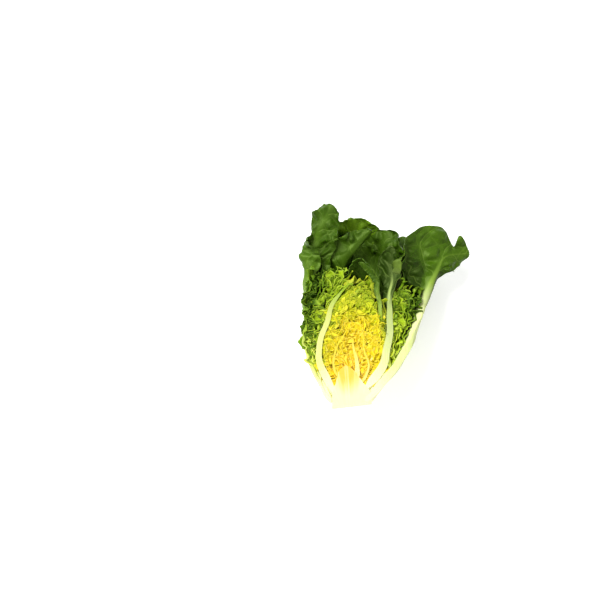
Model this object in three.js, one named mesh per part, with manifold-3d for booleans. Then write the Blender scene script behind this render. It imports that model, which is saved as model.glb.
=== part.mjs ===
// Half a romaine heart, cut lengthwise and lying on its back with the cut face up.
// Every leaf is one closed solid: a thick rib that thins into a waved, curled blade.
// The leaves stand round a short core, the outer ones long and open, the inner ones
// short and folded over each other, and one knife plane trims them all.
import * as THREE from "three";
import Module from "manifold-3d";

const wasm = await Module();
wasm.setup();

// Driving sizes, in millimetres. While the head is built, y = 0 is the trimmed butt,
// +Y runs to the leaf tips, and the table is at z = 0.
const CUT_HEIGHT = 50; // the knife plane above the table
const AXIS_LEAN = 0.07; // how far the head's axis drifts to +X in each mm of length
const BLADE = 0.9; // thickness of a leaf blade
const GAP = 0.35; // clear space between two leaves, and between a leaf and the core
const FLOOR_SKIN = 1.1; // the least height of an inner face above the table

// The core: a short cone of stem, widest at the butt, that rounds off where the smallest
// leaves grow. Each pair is a radius and how far up the axis it is.
const CORE = [
  [19.5, 0],
  [18.3, 5],
  [15.2, 11],
  [13, 18],
  [10.5, 27],
  [7.5, 35],
  [4.2, 41],
];
const CORE_TIP = 46;
const CORE_SIDES = 16;
const BUTT_SLOPE = 0.13; // the butt is trimmed a little askew
const BUTT_START = 2; // where that cut crosses the axis

// The head's outer form: its radius at even steps along the axis, from the butt on.
const SHELL_RADIUS = [13, 35, 46, 48, 48, 45, 39, 30];
const SHELL_LENGTH = 210;
const RIB_POINTS = [0, 1 / 6, 1 / 3, 1 / 2, 2 / 3, 5 / 6, 1];
const SHELL_SHARE = [0.6, 0.7, 0.95, 1, 1, 0.95, 0.85]; // a leaf's width from root to tip

// The heart: its outermost leaf's radius at even steps along it, closing over the top.
const HEART_RADIUS = [13, 21, 28, 31, 31.5, 31, 27, 20, 9];
const HEART_SHARE = [0.5, 0.7, 0.9, 1, 1, 1, 1, 1, 1];
const HEART_TOP = 146; // how far up the largest heart leaf reaches
const HEART_BUD = 60; // and the smallest
const HEART_ROOT = [48, 22]; // where a leaf of no girth starts, and how much lower a full one
const HEART_RISE = 0.8; // how the tips of the heart leaves follow their girth
const HEART_RIB = { half: 7, thick: 2.8 }; // the rib of a full heart leaf
const HEART_SPREAD = 88; // degrees that a heart leaf reaches round the axis, each way
const HEART_LEAVES = 9;
const HEART_GIRTH = 0.76; // the largest heart leaf against the heart's outline
const GIRTH_STEP = 0.075; // and how much less each leaf inside it is
const GOLDEN_ANGLE = 137.5; // degrees between one heart leaf and the next
const FIRST_TURN = 110; // where round the axis the spiral starts
const SEED_STEP = 1.7; // how far each heart leaf's waves run ahead of the last one's
const KEPT_TURNS = [-20, 195]; // leaves whose rib is in this range stay in the half head

// How a leaf is shaped, as shares of its length or of its half width.
const TIP_ROUND = 0.2; // the last stretch, which is rounded off
const TIP_LEAST = 0.015; // the square of the width share left at the very tip
const FOLD_ZONE = [0.42, 0.68]; // where across its half a folded blade turns over
const RIB_INSIDE = 0.3; // the share of a rib's thickness that stands inside the blade
const RIB_TAPER = { loss: 0.85, power: 1.4 }; // how a rib thins towards the tip
const RIB_NARROWEST = 0.25; // the least share of its width that a rib keeps
const ROOT_PINCH = { least: 0.3, from: -0.02, to: 0.08 }; // a rib is thinner at its foot
const FRILL_POWER = 1.5; // how a margin's waves grow from the rib outwards
const FRILL_START = [0.08, 0.4]; // where along a leaf its waves rise to full height
const RIPPLE = { height: 0.45, rate: 1.9, start: 1.3, skew: 2 }; // a finer wave on the first
const LEFT_SHIFT = 2.3; // how far the left margin's waves run ahead of the right's

// Mesh steps along and across a leaf, closer at the tip and at the rib.
const ROWS = 13;
const COLUMNS = 8;
const HEART_ROWS = 11;
const RUFFLED_ROWS = 16;
const WIDE_COLUMNS = 12;
const ROW_CROWDING = 1.3;
const COLUMN_CROWDING = 1.25;
const BEND_STEPS = 32; // integration steps across a leaf's section
const RIB_STEP = 0.004; // the step along a rib that gives its direction
const FACE_STEP = 0.01; // the step on a blade that gives its normal

const CORE_COLOUR = 0xf3f0c6;
const OUTER_GREEN = 0x3f7a1f;
const MIDDLE_GREEN = 0x7fb043;
const HEART_OUTSIDE = 0xb9d24a;
const HEART_INSIDE = 0xf4cf3a;

// A value at s (0 to 1) on a smooth curve through evenly spaced values.
function through(values, s) {
  if (!Array.isArray(values)) return values;
  const last = values.length - 1;
  const i = Math.max(0, Math.min(Math.floor(s * last), last - 1));
  const u = s * last - i;
  const [a, b, c, d] = [Math.max(i - 1, 0), i, i + 1, Math.min(i + 2, last)].map(
    (k) => values[k],
  );
  const blend = (p, q, r, t) =>
    0.5 * (2 * q + (r - p) * u + (2 * p - 5 * q + 4 * r - t) * u * u + (3 * q - p - 3 * r + t) * u ** 3);
  return Array.isArray(a) ? a.map((_, k) => blend(a[k], b[k], c[k], d[k])) : blend(a, b, c, d);
}

const vectorThrough = (values, s) => new THREE.Vector3(...through(values, s));
const { degToRad: radians, smoothstep, clamp, lerp } = THREE.MathUtils;

// Long, slow waves that shift all the leaves together, so that neighbours stay apart.
const SWAY = [
  { along: [0.0, 1.0, 0.35], shift: [1.6, 0.0, 0.0], wave: 46, start: 0.4 },
  { along: [0.8, 0.5, 0.0], shift: [0.0, 0.0, 1.5], wave: 38, start: 2.1 },
  { along: [0.2, 0.9, -0.6], shift: [1.1, 0.0, 0.0], wave: 27, start: 4.0 },
];

function sway(point) {
  for (const { along, shift, wave, start } of SWAY) {
    const phase = (2 * Math.PI * point.dot(new THREE.Vector3(...along))) / wave + start;
    point.addScaledVector(new THREE.Vector3(...shift), Math.sin(phase));
  }
  return point;
}

// How much of its width a leaf keeps at s: its last stretch is rounded off.
function tipRound(leaf, s) {
  const tip = leaf.tip ?? TIP_ROUND;
  const past = Math.max(0, Math.min(s, 1) - 1 + tip) / tip;
  return Math.sqrt(Math.max(1 - past * past, TIP_LEAST));
}

const halfWidth = (leaf, s, t) => through(t >= 0 ? leaf.right : leaf.left, s) * tipRound(leaf, s);

// Where the middle of a leaf's blade is: s runs from root to tip, t from -1 at the left
// margin, over the rib at 0, to 1 at the right margin, seen from the leaf's inner face.
function bladePoint(leaf, s, t) {
  const rib = vectorThrough(leaf.rib, s);
  const ahead = vectorThrough(leaf.rib, s + RIB_STEP);
  const forward = ahead.sub(vectorThrough(leaf.rib, s - RIB_STEP)).normalize();
  const inward = vectorThrough(leaf.inner, s);
  inward.addScaledVector(forward, -inward.dot(forward)).normalize();
  const sideways = new THREE.Vector3().crossVectors(forward, inward);
  const right = t >= 0;
  const curl = radians(through((right ? leaf.curlRight : leaf.curlLeft) ?? leaf.curl, s));
  const fold = radians(through((right ? leaf.foldRight : leaf.foldLeft) ?? 0, s));
  const reach = Math.abs(t);
  const stepLength = (halfWidth(leaf, s, t) * reach) / BEND_STEPS;
  const turnAt = (w) => curl * w + fold * smoothstep(w, ...FOLD_ZONE);
  let across = 0;
  let rise = 0;
  for (let k = 0; k < BEND_STEPS; k++) {
    const turn = turnAt((reach * (k + 0.5)) / BEND_STEPS);
    across += Math.cos(turn) * stepLength;
    rise += Math.sin(turn) * stepLength;
  }
  const side = right ? 1 : -1;
  const turn = turnAt(reach);
  const { height, wave } = leaf.frill;
  const phase = (2 * Math.PI * leaf.length * s) / wave + (right ? 0 : LEFT_SHIFT) + leaf.seed;
  const ripple = Math.sin(RIPPLE.rate * phase + RIPPLE.start + RIPPLE.skew * reach);
  const grown = Math.pow(reach, FRILL_POWER) * smoothstep(s, ...FRILL_START);
  const bulge = height * grown * (Math.sin(phase) + RIPPLE.height * ripple);
  return sway(
    rib
      .addScaledVector(sideways, side * (across - Math.sin(turn) * bulge))
      .addScaledVector(inward, rise + Math.cos(turn) * bulge),
  );
}

// A leaf as a closed solid. extra thickens and widens it, to cut its clear space out of a
// neighbour.
function leafSolid(leaf, extra = 0) {
  const { rows, columns } = leaf;
  const [ribHalf, ribThick] = leaf.ribSize;
  const lengthen = (2 * extra) / leaf.length;
  const points = [];
  for (const side of [1, -1])
    for (let i = 0; i <= rows; i++) {
      const s = (1 + lengthen) * (1 - Math.pow(1 - i / rows, ROW_CROWDING)) - lengthen / 2;
      const taper = Math.pow(1 - RIB_TAPER.loss * clamp(s, 0, 1), RIB_TAPER.power);
      const ribWide = ribHalf * lerp(RIB_NARROWEST, 1, taper);
      const foot = lerp(ROOT_PINCH.least, 1, smoothstep(s, ROOT_PINCH.from, ROOT_PINCH.to));
      for (let j = 0; j <= columns; j++) {
        const even = (2 * j) / columns - 1;
        const t = Math.sign(even) * Math.pow(Math.abs(even), COLUMN_CROWDING);
        const half = halfWidth(leaf, s, t);
        const wide = t * (1 + extra / half);
        const here = bladePoint(leaf, s, wide);
        const up = bladePoint(leaf, s + FACE_STEP, wide).sub(bladePoint(leaf, s - FACE_STEP, wide));
        const over = bladePoint(leaf, s, wide + FACE_STEP).sub(bladePoint(leaf, s, wide - FACE_STEP));
        const normal = over.cross(up).normalize();
        const swell = ribThick * taper * foot * Math.exp(-Math.pow((t * half) / ribWide, 2));
        const depth = BLADE / 2 + (side > 0 ? RIB_INSIDE : 1 - RIB_INSIDE) * swell;
        here.addScaledVector(normal, side * (depth + extra));
        here.z = Math.max(here.z, side > 0 ? FLOOR_SKIN + extra : -extra);
        points.push(here.x, here.y, here.z);
      }
    }
  return new wasm.Manifold(
    new wasm.Mesh({
      numProp: 3,
      vertProperties: new Float32Array(points),
      triVerts: new Uint32Array(sheetFaces(rows, columns)),
    }),
  );
}

// The triangles of two matching grids of points, inner face first, closed by a rim. Both
// faces are split the same way, so that a thin waved blade doesn't cross itself.
function sheetFaces(rows, columns) {
  const inner = (i, j) => i * (columns + 1) + j;
  const outer = (i, j) => inner(i, j) + (rows + 1) * (columns + 1);
  const faces = [];
  const quad = (a, b, c, d) => faces.push(a, b, c, a, c, d);
  for (let i = 0; i < rows; i++)
    for (let j = 0; j < columns; j++) {
      quad(inner(i, j), inner(i, j + 1), inner(i + 1, j + 1), inner(i + 1, j));
      quad(outer(i, j), outer(i + 1, j), outer(i + 1, j + 1), outer(i, j + 1));
    }
  for (let j = 0; j < columns; j++) {
    quad(inner(0, j), outer(0, j), outer(0, j + 1), inner(0, j + 1));
    quad(inner(rows, j), inner(rows, j + 1), outer(rows, j + 1), outer(rows, j));
  }
  for (let i = 0; i < rows; i++) {
    quad(inner(i, 0), inner(i + 1, 0), outer(i + 1, 0), outer(i, 0));
    quad(inner(i, columns), outer(i, columns), outer(i + 1, columns), inner(i + 1, columns));
  }
  return faces;
}

// The core as a solid. extra swells it, to clear the leaf roots.
function coreSolid(extra = 0) {
  const profile = [
    new THREE.Vector2(0, -extra),
    ...CORE.map(([r, y]) => new THREE.Vector2(r + extra, y === 0 ? -extra : y)),
    new THREE.Vector2(0, CORE_TIP + extra),
  ];
  const lathe = new THREE.LatheGeometry(profile, CORE_SIDES);
  const position = lathe.getAttribute("position");
  for (let i = 0; i < position.count; i++)
    position.setX(i, position.getX(i) + AXIS_LEAN * position.getY(i));
  const solid = solidFrom(lathe.translate(0, 0, CUT_HEIGHT));
  return extra ? solid : solid.trimByPlane([-BUTT_SLOPE, 1, 0], BUTT_START);
}

// A solid from a closed geometry, once its doubled points are merged.
function solidFrom(geometry) {
  const source = geometry.index ? geometry.toNonIndexed() : geometry;
  const position = source.getAttribute("position");
  const seen = new Map();
  const points = [];
  const faces = [];
  for (let i = 0; i < position.count; i += 3) {
    const corner = [0, 1, 2].map((k) => {
      const p = [position.getX(i + k), position.getY(i + k), position.getZ(i + k)];
      const key = p.map((v) => Math.round(v * 1e4)).join();
      if (!seen.has(key)) {
        seen.set(key, points.length / 3);
        points.push(...p);
      }
      return seen.get(key);
    });
    if (new Set(corner).size === 3) faces.push(...corner);
  }
  return new wasm.Manifold(
    new wasm.Mesh({
      numProp: 3,
      vertProperties: new Float32Array(points),
      triVerts: new Uint32Array(faces),
    }),
  );
}

// A point at a distance from the head's axis, turned round it: 0 degrees is to the right
// and 90 is underneath.
function roundAxis(y, radius, turn) {
  const angle = radians(turn);
  const x = AXIS_LEAN * y + radius * Math.cos(angle);
  return [x, y, CUT_HEIGHT - radius * Math.sin(angle)];
}

const inwardAt = (turn) => [-Math.cos(radians(turn)), 0, Math.sin(radians(turn))];

// A leaf of the outer head, from `root` to `top` along the axis. It lies on a shell that
// is `girth` times the outer form and reaches `spread` degrees round it each way, as far
// as `share` lets it.
function shellLeaf({ turn, girth, root, top, spread, share = SHELL_SHARE, ...rest }) {
  const at = RIB_POINTS.map((s) => {
    const y = root + (top - root) * s;
    const radius = through(girth, s) * through(SHELL_RADIUS, y / SHELL_LENGTH);
    return { y, radius, turn: through(turn, s), share: through(share, s) };
  });
  const half = at.map((v) => v.radius * radians(spread) * v.share);
  return {
    rib: at.map((v) => roundAxis(v.y, v.radius, v.turn)),
    inner: at.map((v) => inwardAt(v.turn)),
    left: half,
    right: half,
    curl: at.map((v) => spread * v.share),
    length: top - root,
    ...rest,
  };
}

// A leaf of the heart. They are alike but for their girth and their turn round the axis.
function heartLeaf(name, turn, girth, seed) {
  const root = HEART_ROOT[0] - HEART_ROOT[1] * girth;
  const top = HEART_BUD + (HEART_TOP - HEART_BUD) * Math.pow(girth, HEART_RISE);
  const steps = HEART_RADIUS.length - 1;
  const half = HEART_RADIUS.map((r, k) => r * girth * radians(HEART_SPREAD) * HEART_SHARE[k]);
  return {
    name,
    rib: HEART_RADIUS.map((r, k) => roundAxis(lerp(root, top, k / steps), r * girth, turn)),
    inner: [inwardAt(turn), inwardAt(turn)],
    left: half,
    right: half,
    curl: HEART_SHARE.map((v) => v * HEART_SPREAD),
    length: top - root,
    ribSize: [HEART_RIB.half * girth, HEART_RIB.thick * girth],
    tip: 0.3,
    frill: { height: 1, wave: 15 },
    rows: HEART_ROWS,
    colour: new THREE.Color(HEART_OUTSIDE).lerp(new THREE.Color(HEART_INSIDE), 1 - girth),
    seed,
  };
}

// The heart's leaves grow in a spiral, each turned by the golden angle from the last. The
// half head keeps the ones whose rib is below the knife.
function heartLeaves() {
  const [first, last] = KEPT_TURNS;
  const turns = [];
  for (let k = 0; turns.length < HEART_LEAVES; k++) {
    const turn = ((FIRST_TURN + k * GOLDEN_ANGLE) % 360) + first;
    if (turn <= last) turns.push(turn);
  }
  return turns.map((turn, k) =>
    heartLeaf(`heart_leaf_${k + 1}`, turn, HEART_GIRTH - GIRTH_STEP * k, SEED_STEP * k),
  );
}

// The leaves outside the heart, from the outermost in. Each later one is trimmed clear of
// those before it.
const OUTER_LEAVES = [
  // The leaf that the head lies on, pressed a little flat by its weight.
  {
    name: "under_leaf",
    ...shellLeaf({
      turn: 89,
      girth: [1, 1.06, 1.08, 1.07, 1.04, 1, 1],
      root: 9,
      top: 191,
      spread: 46,
      share: [0.5, 0.6, 0.9, 1, 1, 1, 1],
    }),
    frill: { height: 2.5, wave: 34 },
    ribSize: [9, 6],
  },
  {
    name: "under_right_leaf",
    ...shellLeaf({ turn: 46, girth: [0.9, 0.87, 0.87, 0.88, 0.95, 1], root: 11, top: 180, spread: 36 }),
    tip: 0.16,
    frill: { height: 2, wave: 31 },
    ribSize: [8, 5.5],
    seed: 1.1,
  },
  {
    name: "under_left_leaf",
    ...shellLeaf({
      turn: [142, 141, 140, 134, 124],
      girth: [0.92, 0.9, 0.9, 0.9, 0.92],
      root: 11,
      top: 174,
      spread: 34,
    }),
    frill: { height: 2, wave: 29 },
    ribSize: [8, 5.5],
    seed: 2.7,
  },
  // A narrow leaf whose tip stands out behind the open leaf at the right.
  {
    name: "back_right_leaf",
    ...shellLeaf({
      turn: [20, 25, 33, 40, 41, 40],
      girth: [1, 0.95, 0.96, 1.02, 1.15, 1.4],
      root: 8,
      top: 174,
      spread: 17,
    }),
    frill: { height: 2, wave: 31 },
    ribSize: [7, 5],
    seed: 0.4,
  },
  {
    name: "left_outer_leaf",
    colour: MIDDLE_GREEN,
    ...shellLeaf({
      turn: [166, 170, 174, 174],
      girth: [1, 1.02, 1.05, 1.1],
      root: 8,
      top: 142,
      spread: 26,
    }),
    frill: { height: 3.5, wave: 17 },
    ribSize: [7, 5],
    rows: RUFFLED_ROWS,
  },
  // The tall leaf at the left. It twists open to the left, and its upper half folds over.
  {
    name: "tall_left_leaf",
    rib: [
      [-9, 14, 42],
      [-23, 34, 38],
      [-31, 62, 36],
      [-31, 95, 35.5],
      [-27, 130, 33],
      [-21, 160, 32],
      [-14, 185, 31],
      [-19, 206, 35],
    ],
    inner: [
      [0.8, 0, 0.6],
      [0.9, 0, 0.4],
      [0.9, 0, 0.4],
      [0.7, 0, 0.7],
      [0, 0, 1],
      [-0.4, 0, 0.9],
      [-0.8, -0.1, 0.5],
    ],
    left: [6, 8, 9, 10, 24, 44, 34, 24],
    right: [6, 8, 9, 10, 14, 22, 28, 14],
    curlLeft: [30, 30, 30, 30, 30, 30, 60, 40],
    curlRight: [20, 20, 20, 20, 30, 60, 130, 110],
    foldLeft: [0, 0, 0, 0, 60, 150, 0, 0],
    tip: 0.12,
    frill: { height: 1.5, wave: 36 },
    columns: WIDE_COLUMNS,
    length: 205,
    ribSize: [7, 5],
    seed: 0.9,
  },
  // The leaf in front of it, leaning across the head, its inner half folded over.
  {
    name: "front_left_leaf",
    rib: [
      [-4, 17, 37],
      [-12, 36, 27],
      [-17, 62, 18],
      [-17, 92, 17.5],
      [-14, 122, 23],
      [-6, 145, 30],
      [7, 163, 35],
      [20, 179, 36],
    ],
    inner: [
      [0.5, -0.3, 0.85],
      [0.5, -0.2, 0.85],
      [0.5, 0, 0.85],
      [0.5, 0, 0.9],
      [0.3, -0.1, 1],
    ],
    left: [6, 9, 12, 14, 15, 15, 14, 12],
    right: [6, 9, 16, 18, 19, 22, 18, 12],
    curl: [30, 30, 30, 32, 30, 25, 25],
    foldRight: [0, 0, 0, 0, 60, 130, 60, 0],
    frill: { height: 1.5, wave: 27 },
    columns: WIDE_COLUMNS,
    length: 175,
    ribSize: [7, 4.5],
    seed: 1.9,
  },
  {
    name: "back_middle_leaf",
    ...shellLeaf({ turn: 76, girth: [0.84, 0.79, 0.79, 0.79, 0.8], root: 15, top: 164, spread: 38 }),
    frill: { height: 2, wave: 26 },
    ribSize: [7, 4.5],
    seed: 4.4,
  },
  // The open leaf at the right, its rib just under the knife.
  {
    name: "right_outer_leaf",
    rib: [
      [19, 10, 46],
      [35, 28, 45.5],
      [51, 53, 45.5],
      [61, 82, 44.5],
      [70, 108, 42],
      [83, 134, 37],
      [97, 152, 31],
      [121, 155, 24],
    ],
    inner: [
      [-1, 0, 0.1],
      [-1, 0, 0.1],
      [-1, 0.2, 0.3],
      [-0.6, 0.2, 0.8],
      [0, -0.1, 1],
      [0.1, 0, 1],
      [0, 0, 1],
    ],
    left: [7, 9, 10, 12, 28, 46, 42, 22],
    right: [8, 12, 16, 16, 14, 11, 15, 14],
    curl: [50, 50, 45, 35, 20, 10, 20],
    tip: 0.16,
    frill: { height: 2.5, wave: 38 },
    length: 190,
    ribSize: [8, 6.5],
  },
  {
    name: "right_middle_leaf",
    colour: MIDDLE_GREEN,
    ...shellLeaf({ turn: 12, girth: [0.84, 0.8, 0.79, 0.82, 0.88], root: 14, top: 132, spread: 24 }),
    frill: { height: 3, wave: 17 },
    ribSize: [6, 5],
    rows: RUFFLED_ROWS,
    seed: 1.9,
  },
  // The hood that closes over the heart.
  {
    name: "hood_leaf",
    colour: MIDDLE_GREEN,
    rib: [
      [3, 20, 35],
      [3, 37, 23],
      [1, 55, 18],
      [0, 75, 16.5],
      [2, 94, 17.5],
      [5, 112, 23],
      [8, 128, 30],
      [11, 142, 38],
      [13, 151, 45],
    ],
    inner: [
      [0, -0.5, 1],
      [0, -0.3, 1],
      [0, 0, 1],
      [0, 0, 1],
      [0, 0, 1],
      [0, 0.3, 1],
    ],
    left: [12, 22, 42, 52, 50, 42, 31, 20, 12],
    right: [12, 22, 42, 52, 50, 42, 31, 20, 12],
    curl: [40, 50, 78, 90, 90, 90, 90, 90, 80],
    tip: 0.1,
    frill: { height: 1, wave: 24 },
    length: 155,
    ribSize: [7, 4],
    columns: 10,
    seed: 2.2,
  },
  // The two leaves whose ribs the knife split, one on each side of the heart.
  {
    name: "left_cut_leaf",
    colour: MIDDLE_GREEN,
    rib: [
      [-15, 16, 49.5],
      [-26, 36, 49.5],
      [-31, 53, 49.5],
      [-28, 74, 49.5],
      [-22, 92, 49.5],
      [-14, 110, 49.5],
      [-5, 124, 49],
      [6, 136, 47],
    ],
    inner: [
      [1, 0, 0],
      [1, 0, 0],
      [1, 0, 0],
      [1, -0.2, 0],
      [1, -0.4, 0],
      [0.8, -0.8, 0.1],
      [0.8, -0.8, 0.4],
    ],
    left: [6, 10, 14, 14, 14, 14, 12, 10],
    right: [6, 10, 28, 46, 48, 42, 30, 18],
    curl: [40, 40, 58, 96, 100, 105, 100, 80],
    frill: { height: 1, wave: 24 },
    columns: WIDE_COLUMNS,
    length: 150,
    ribSize: [6.5, 6],
  },
  {
    name: "right_cut_leaf",
    rib: [
      [13, 20, 49.5],
      [25, 36, 49.5],
      [34, 54, 49.5],
      [37, 76, 49.5],
      [38, 100, 49.5],
      [40, 122, 46],
      [41, 144, 41],
      [41, 163, 41],
    ],
    inner: [
      [-1, 0, 0],
      [-1, 0, 0],
      [-1, 0, 0],
      [-1, 0, 0.2],
      [-0.7, 0, 0.7],
      [-0.4, 0, 1],
      [-0.3, 0, 1],
    ],
    left: [6, 9, 14, 18, 18, 16, 14, 10],
    right: [6, 9, 14, 18, 16, 10, 8, 6],
    curl: [40, 35, 35, 35, 35, 35, 30],
    frill: { height: 1.2, wave: 26 },
    length: 155,
    ribSize: [6.5, 6],
    seed: 0.8,
  },
];

const LEAVES = [...OUTER_LEAVES, ...heartLeaves()].map((leaf) => ({
  rows: ROWS,
  columns: COLUMNS,
  colour: OUTER_GREEN,
  seed: 0,
  ...leaf,
}));

// Cuts the space that another leaf takes out of a solid, where the two meet.
function clearOf(solid, other) {
  return solid.intersect(other).isEmpty() ? solid : solid.subtract(other);
}

// Keeps the largest body of a trimmed leaf and lets the loose scraps go.
function largest(solid) {
  const bodies = solid.decompose();
  return bodies.reduce((best, body) => (body.volume() > best.volume() ? body : best));
}

const group = new THREE.Group();
const parts = new THREE.Group();
group.add(parts);

function addMesh(name, solid, colour) {
  const mesh = solid.getMesh();
  const geometry = new THREE.BufferGeometry()
    .setAttribute("position", new THREE.BufferAttribute(new Float32Array(mesh.vertProperties), 3))
    .setIndex(new THREE.BufferAttribute(new Uint32Array(mesh.triVerts), 1));
  const material = new THREE.MeshStandardMaterial({ color: colour, roughness: 0.5, metalness: 0 });
  const node = new THREE.Mesh(geometry, material);
  node.name = name;
  parts.add(node);
}

// Trims a solid at the knife plane and at the table.
const trim = (solid) => solid.trimByPlane([0, 0, -1], -CUT_HEIGHT).trimByPlane([0, 0, 1], 0);

addMesh("core", trim(coreSolid()), CORE_COLOUR);
const taken = [coreSolid(GAP)];
for (const leaf of LEAVES) {
  const solid = taken.reduce((rest, other) => clearOf(rest, other), trim(leafSolid(leaf)));
  addMesh(leaf.name, largest(solid), leaf.colour);
  taken.push(leafSolid(leaf, GAP));
}

// The part's own frame: the origin is under the middle of the whole head.
const middle = new THREE.Box3().setFromObject(parts).getCenter(new THREE.Vector3());
parts.position.set(-middle.x, -middle.y, 0);

export default group;
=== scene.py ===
# %% [markdown]
# # Half a romaine heart
#
# The part is one half of a head of romaine lettuce, cut lengthwise and lying on its back
# with the cut face up. It is made of a short core, about a dozen long leaves folded round
# each other, and many small crumpled leaves packed in the middle.
#
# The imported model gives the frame: every leaf there is a plain solid. This lesson keeps the
# same leaves in the same places, and gives each the fine mesh and the finish of a real one.

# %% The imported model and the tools
import math

import bmesh
import bpy
import numpy as np
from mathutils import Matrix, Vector


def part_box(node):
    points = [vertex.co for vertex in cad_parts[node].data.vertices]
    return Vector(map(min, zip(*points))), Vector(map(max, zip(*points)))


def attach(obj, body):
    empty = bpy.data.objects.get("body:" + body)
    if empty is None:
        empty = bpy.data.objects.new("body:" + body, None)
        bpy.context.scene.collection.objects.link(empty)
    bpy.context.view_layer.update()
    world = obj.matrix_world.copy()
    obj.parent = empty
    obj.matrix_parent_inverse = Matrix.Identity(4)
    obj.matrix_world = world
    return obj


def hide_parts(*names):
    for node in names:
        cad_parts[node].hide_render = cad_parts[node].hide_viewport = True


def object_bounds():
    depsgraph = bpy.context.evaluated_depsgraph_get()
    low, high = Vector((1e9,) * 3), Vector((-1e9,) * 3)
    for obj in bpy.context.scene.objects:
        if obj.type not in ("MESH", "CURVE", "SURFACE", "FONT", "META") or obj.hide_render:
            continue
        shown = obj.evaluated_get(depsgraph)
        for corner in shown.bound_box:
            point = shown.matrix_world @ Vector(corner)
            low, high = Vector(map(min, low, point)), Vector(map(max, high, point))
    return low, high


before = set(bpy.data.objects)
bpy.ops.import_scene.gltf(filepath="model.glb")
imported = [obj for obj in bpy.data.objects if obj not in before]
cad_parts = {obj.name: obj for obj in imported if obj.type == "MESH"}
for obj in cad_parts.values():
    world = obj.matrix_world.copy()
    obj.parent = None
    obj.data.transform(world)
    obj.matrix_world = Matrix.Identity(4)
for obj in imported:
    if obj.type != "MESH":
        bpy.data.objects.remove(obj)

cad_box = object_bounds()
print("packed model", [tuple(round(v, 4) for v in corner) for corner in cad_box])

# %% [markdown]
# ## Where things are
#
# Leaves are easier to describe in millimetres from the foot of the head than in metres from
# the middle of the part. The butt of the core is where the head starts, so its box in the
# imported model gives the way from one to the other. The knife plane is the top of the part.

# %% The head's own frame
MM = 0.001
BUTT_RADIUS = 19.5  # mm, the core where it was trimmed

core_low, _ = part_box("core")
HEAD_START = np.array([core_low.x / MM + BUTT_RADIUS, core_low.y / MM, 0.0])
CUT_HEIGHT = cad_box[1].z / MM
AXIS_LEAN = 0.07  # how far the head's axis drifts to +X in each mm of length


def to_part(points):
    """Points in millimetres from the foot of the head, as metres in the part's frame."""
    return (np.asarray(points) + HEAD_START) * MM


print("the head starts at", to_part([0, 0, 0]), "and is cut at", CUT_HEIGHT, "mm")

# %% [markdown]
# ## A smooth curve through a few values
#
# A leaf changes slowly along its length: its rib bends, its blade widens, its sides curl.
# Each of these is given as a few values at even steps from root to tip. A spline that goes
# through them all, with no handles to set, fills in the rest.


# %% Curves through evenly spaced values
def through(values, s):
    """Values at each s (0 at the root, 1 at the tip) on a smooth curve through `values`."""
    values = np.atleast_1d(np.asarray(values, float))
    s = np.asarray(s, float)
    if len(values) == 1:
        return np.full(s.shape, values[0])
    last = len(values) - 1
    i = np.clip(np.floor(s * last).astype(int), 0, last - 1)
    u = s * last - i
    if values.ndim == 2:
        u = u[:, None]
    a, b, c, d = (values[np.clip(i + k, 0, last)] for k in (-1, 0, 1, 2))
    bent = (2 * a - 5 * b + 4 * c - d) * u**2
    return 0.5 * (2 * b + (c - a) * u + bent + (3 * b - a - 3 * c + d) * u**3)


def smoothstep(value, low, high):
    x = np.clip((value - low) / (high - low), 0, 1)
    return x * x * (3 - 2 * x)


def between(pair, share):
    return pair[0] + (pair[1] - pair[0]) * share


def unit(vectors):
    return vectors / np.maximum(np.linalg.norm(vectors, axis=-1, keepdims=True), 1e-9)


# %% [markdown]
# ## The slow sway of the whole head
#
# Neighbouring leaves press on each other, so they bend together. A few long waves shift every
# point of the head sideways, all leaves alike, and so none is pushed through the next.

# %% Waves that shift all leaves together
SWAY = [
    {"along": (0.0, 1.0, 0.35), "shift": (1.6, 0.0, 0.0), "wave": 46, "start": 0.4},
    {"along": (0.8, 0.5, 0.0), "shift": (0.0, 0.0, 1.5), "wave": 38, "start": 2.1},
    {"along": (0.2, 0.9, -0.6), "shift": (1.1, 0.0, 0.0), "wave": 27, "start": 4.0},
]
WANDER_LENGTH = 3.1  # a wave's fronts wander in waves of their own, this much longer
WANDERS = ((1, 1, 2.7), (0.6, 0.63, 1.3))  # height, rate and start of the wander beside and along


def shifted(points, waves, amount=1.0):
    """Points pushed by each wave in turn. A wave's shift is across its own direction, or
    nearly so, which slides space past itself and never folds it over."""
    for wave in waves:
        along, shift = np.array(wave["along"], float), np.array(wave["shift"], float)
        phase = 2 * np.pi * points @ along / wave["wave"] + wave["start"]
        wander = wave.get("wander", 0)
        beside = unit(np.cross(along, shift))
        slow = 2 * np.pi / (WANDER_LENGTH * wave["wave"])
        for way, (height, rate, start) in zip((beside, along), WANDERS):
            angle = rate * slow * (points @ way) + start * wave["start"]
            phase = phase + height * wander * np.sin(angle)
        points = points + (np.sin(phase) * amount)[..., None] * shift
    return points


# %% [markdown]
# ## The crumple of the heart
#
# The heart's leaves grow packed in a closed space and crumple against each other. They could
# be simulated as cloth, but many thin sheets that touch are slow to settle. Here the same
# trick as the sway is used with short waves in many directions: each wave slides space across
# its own direction, so sheets that lay apart stay apart, however crumpled they get.


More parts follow.
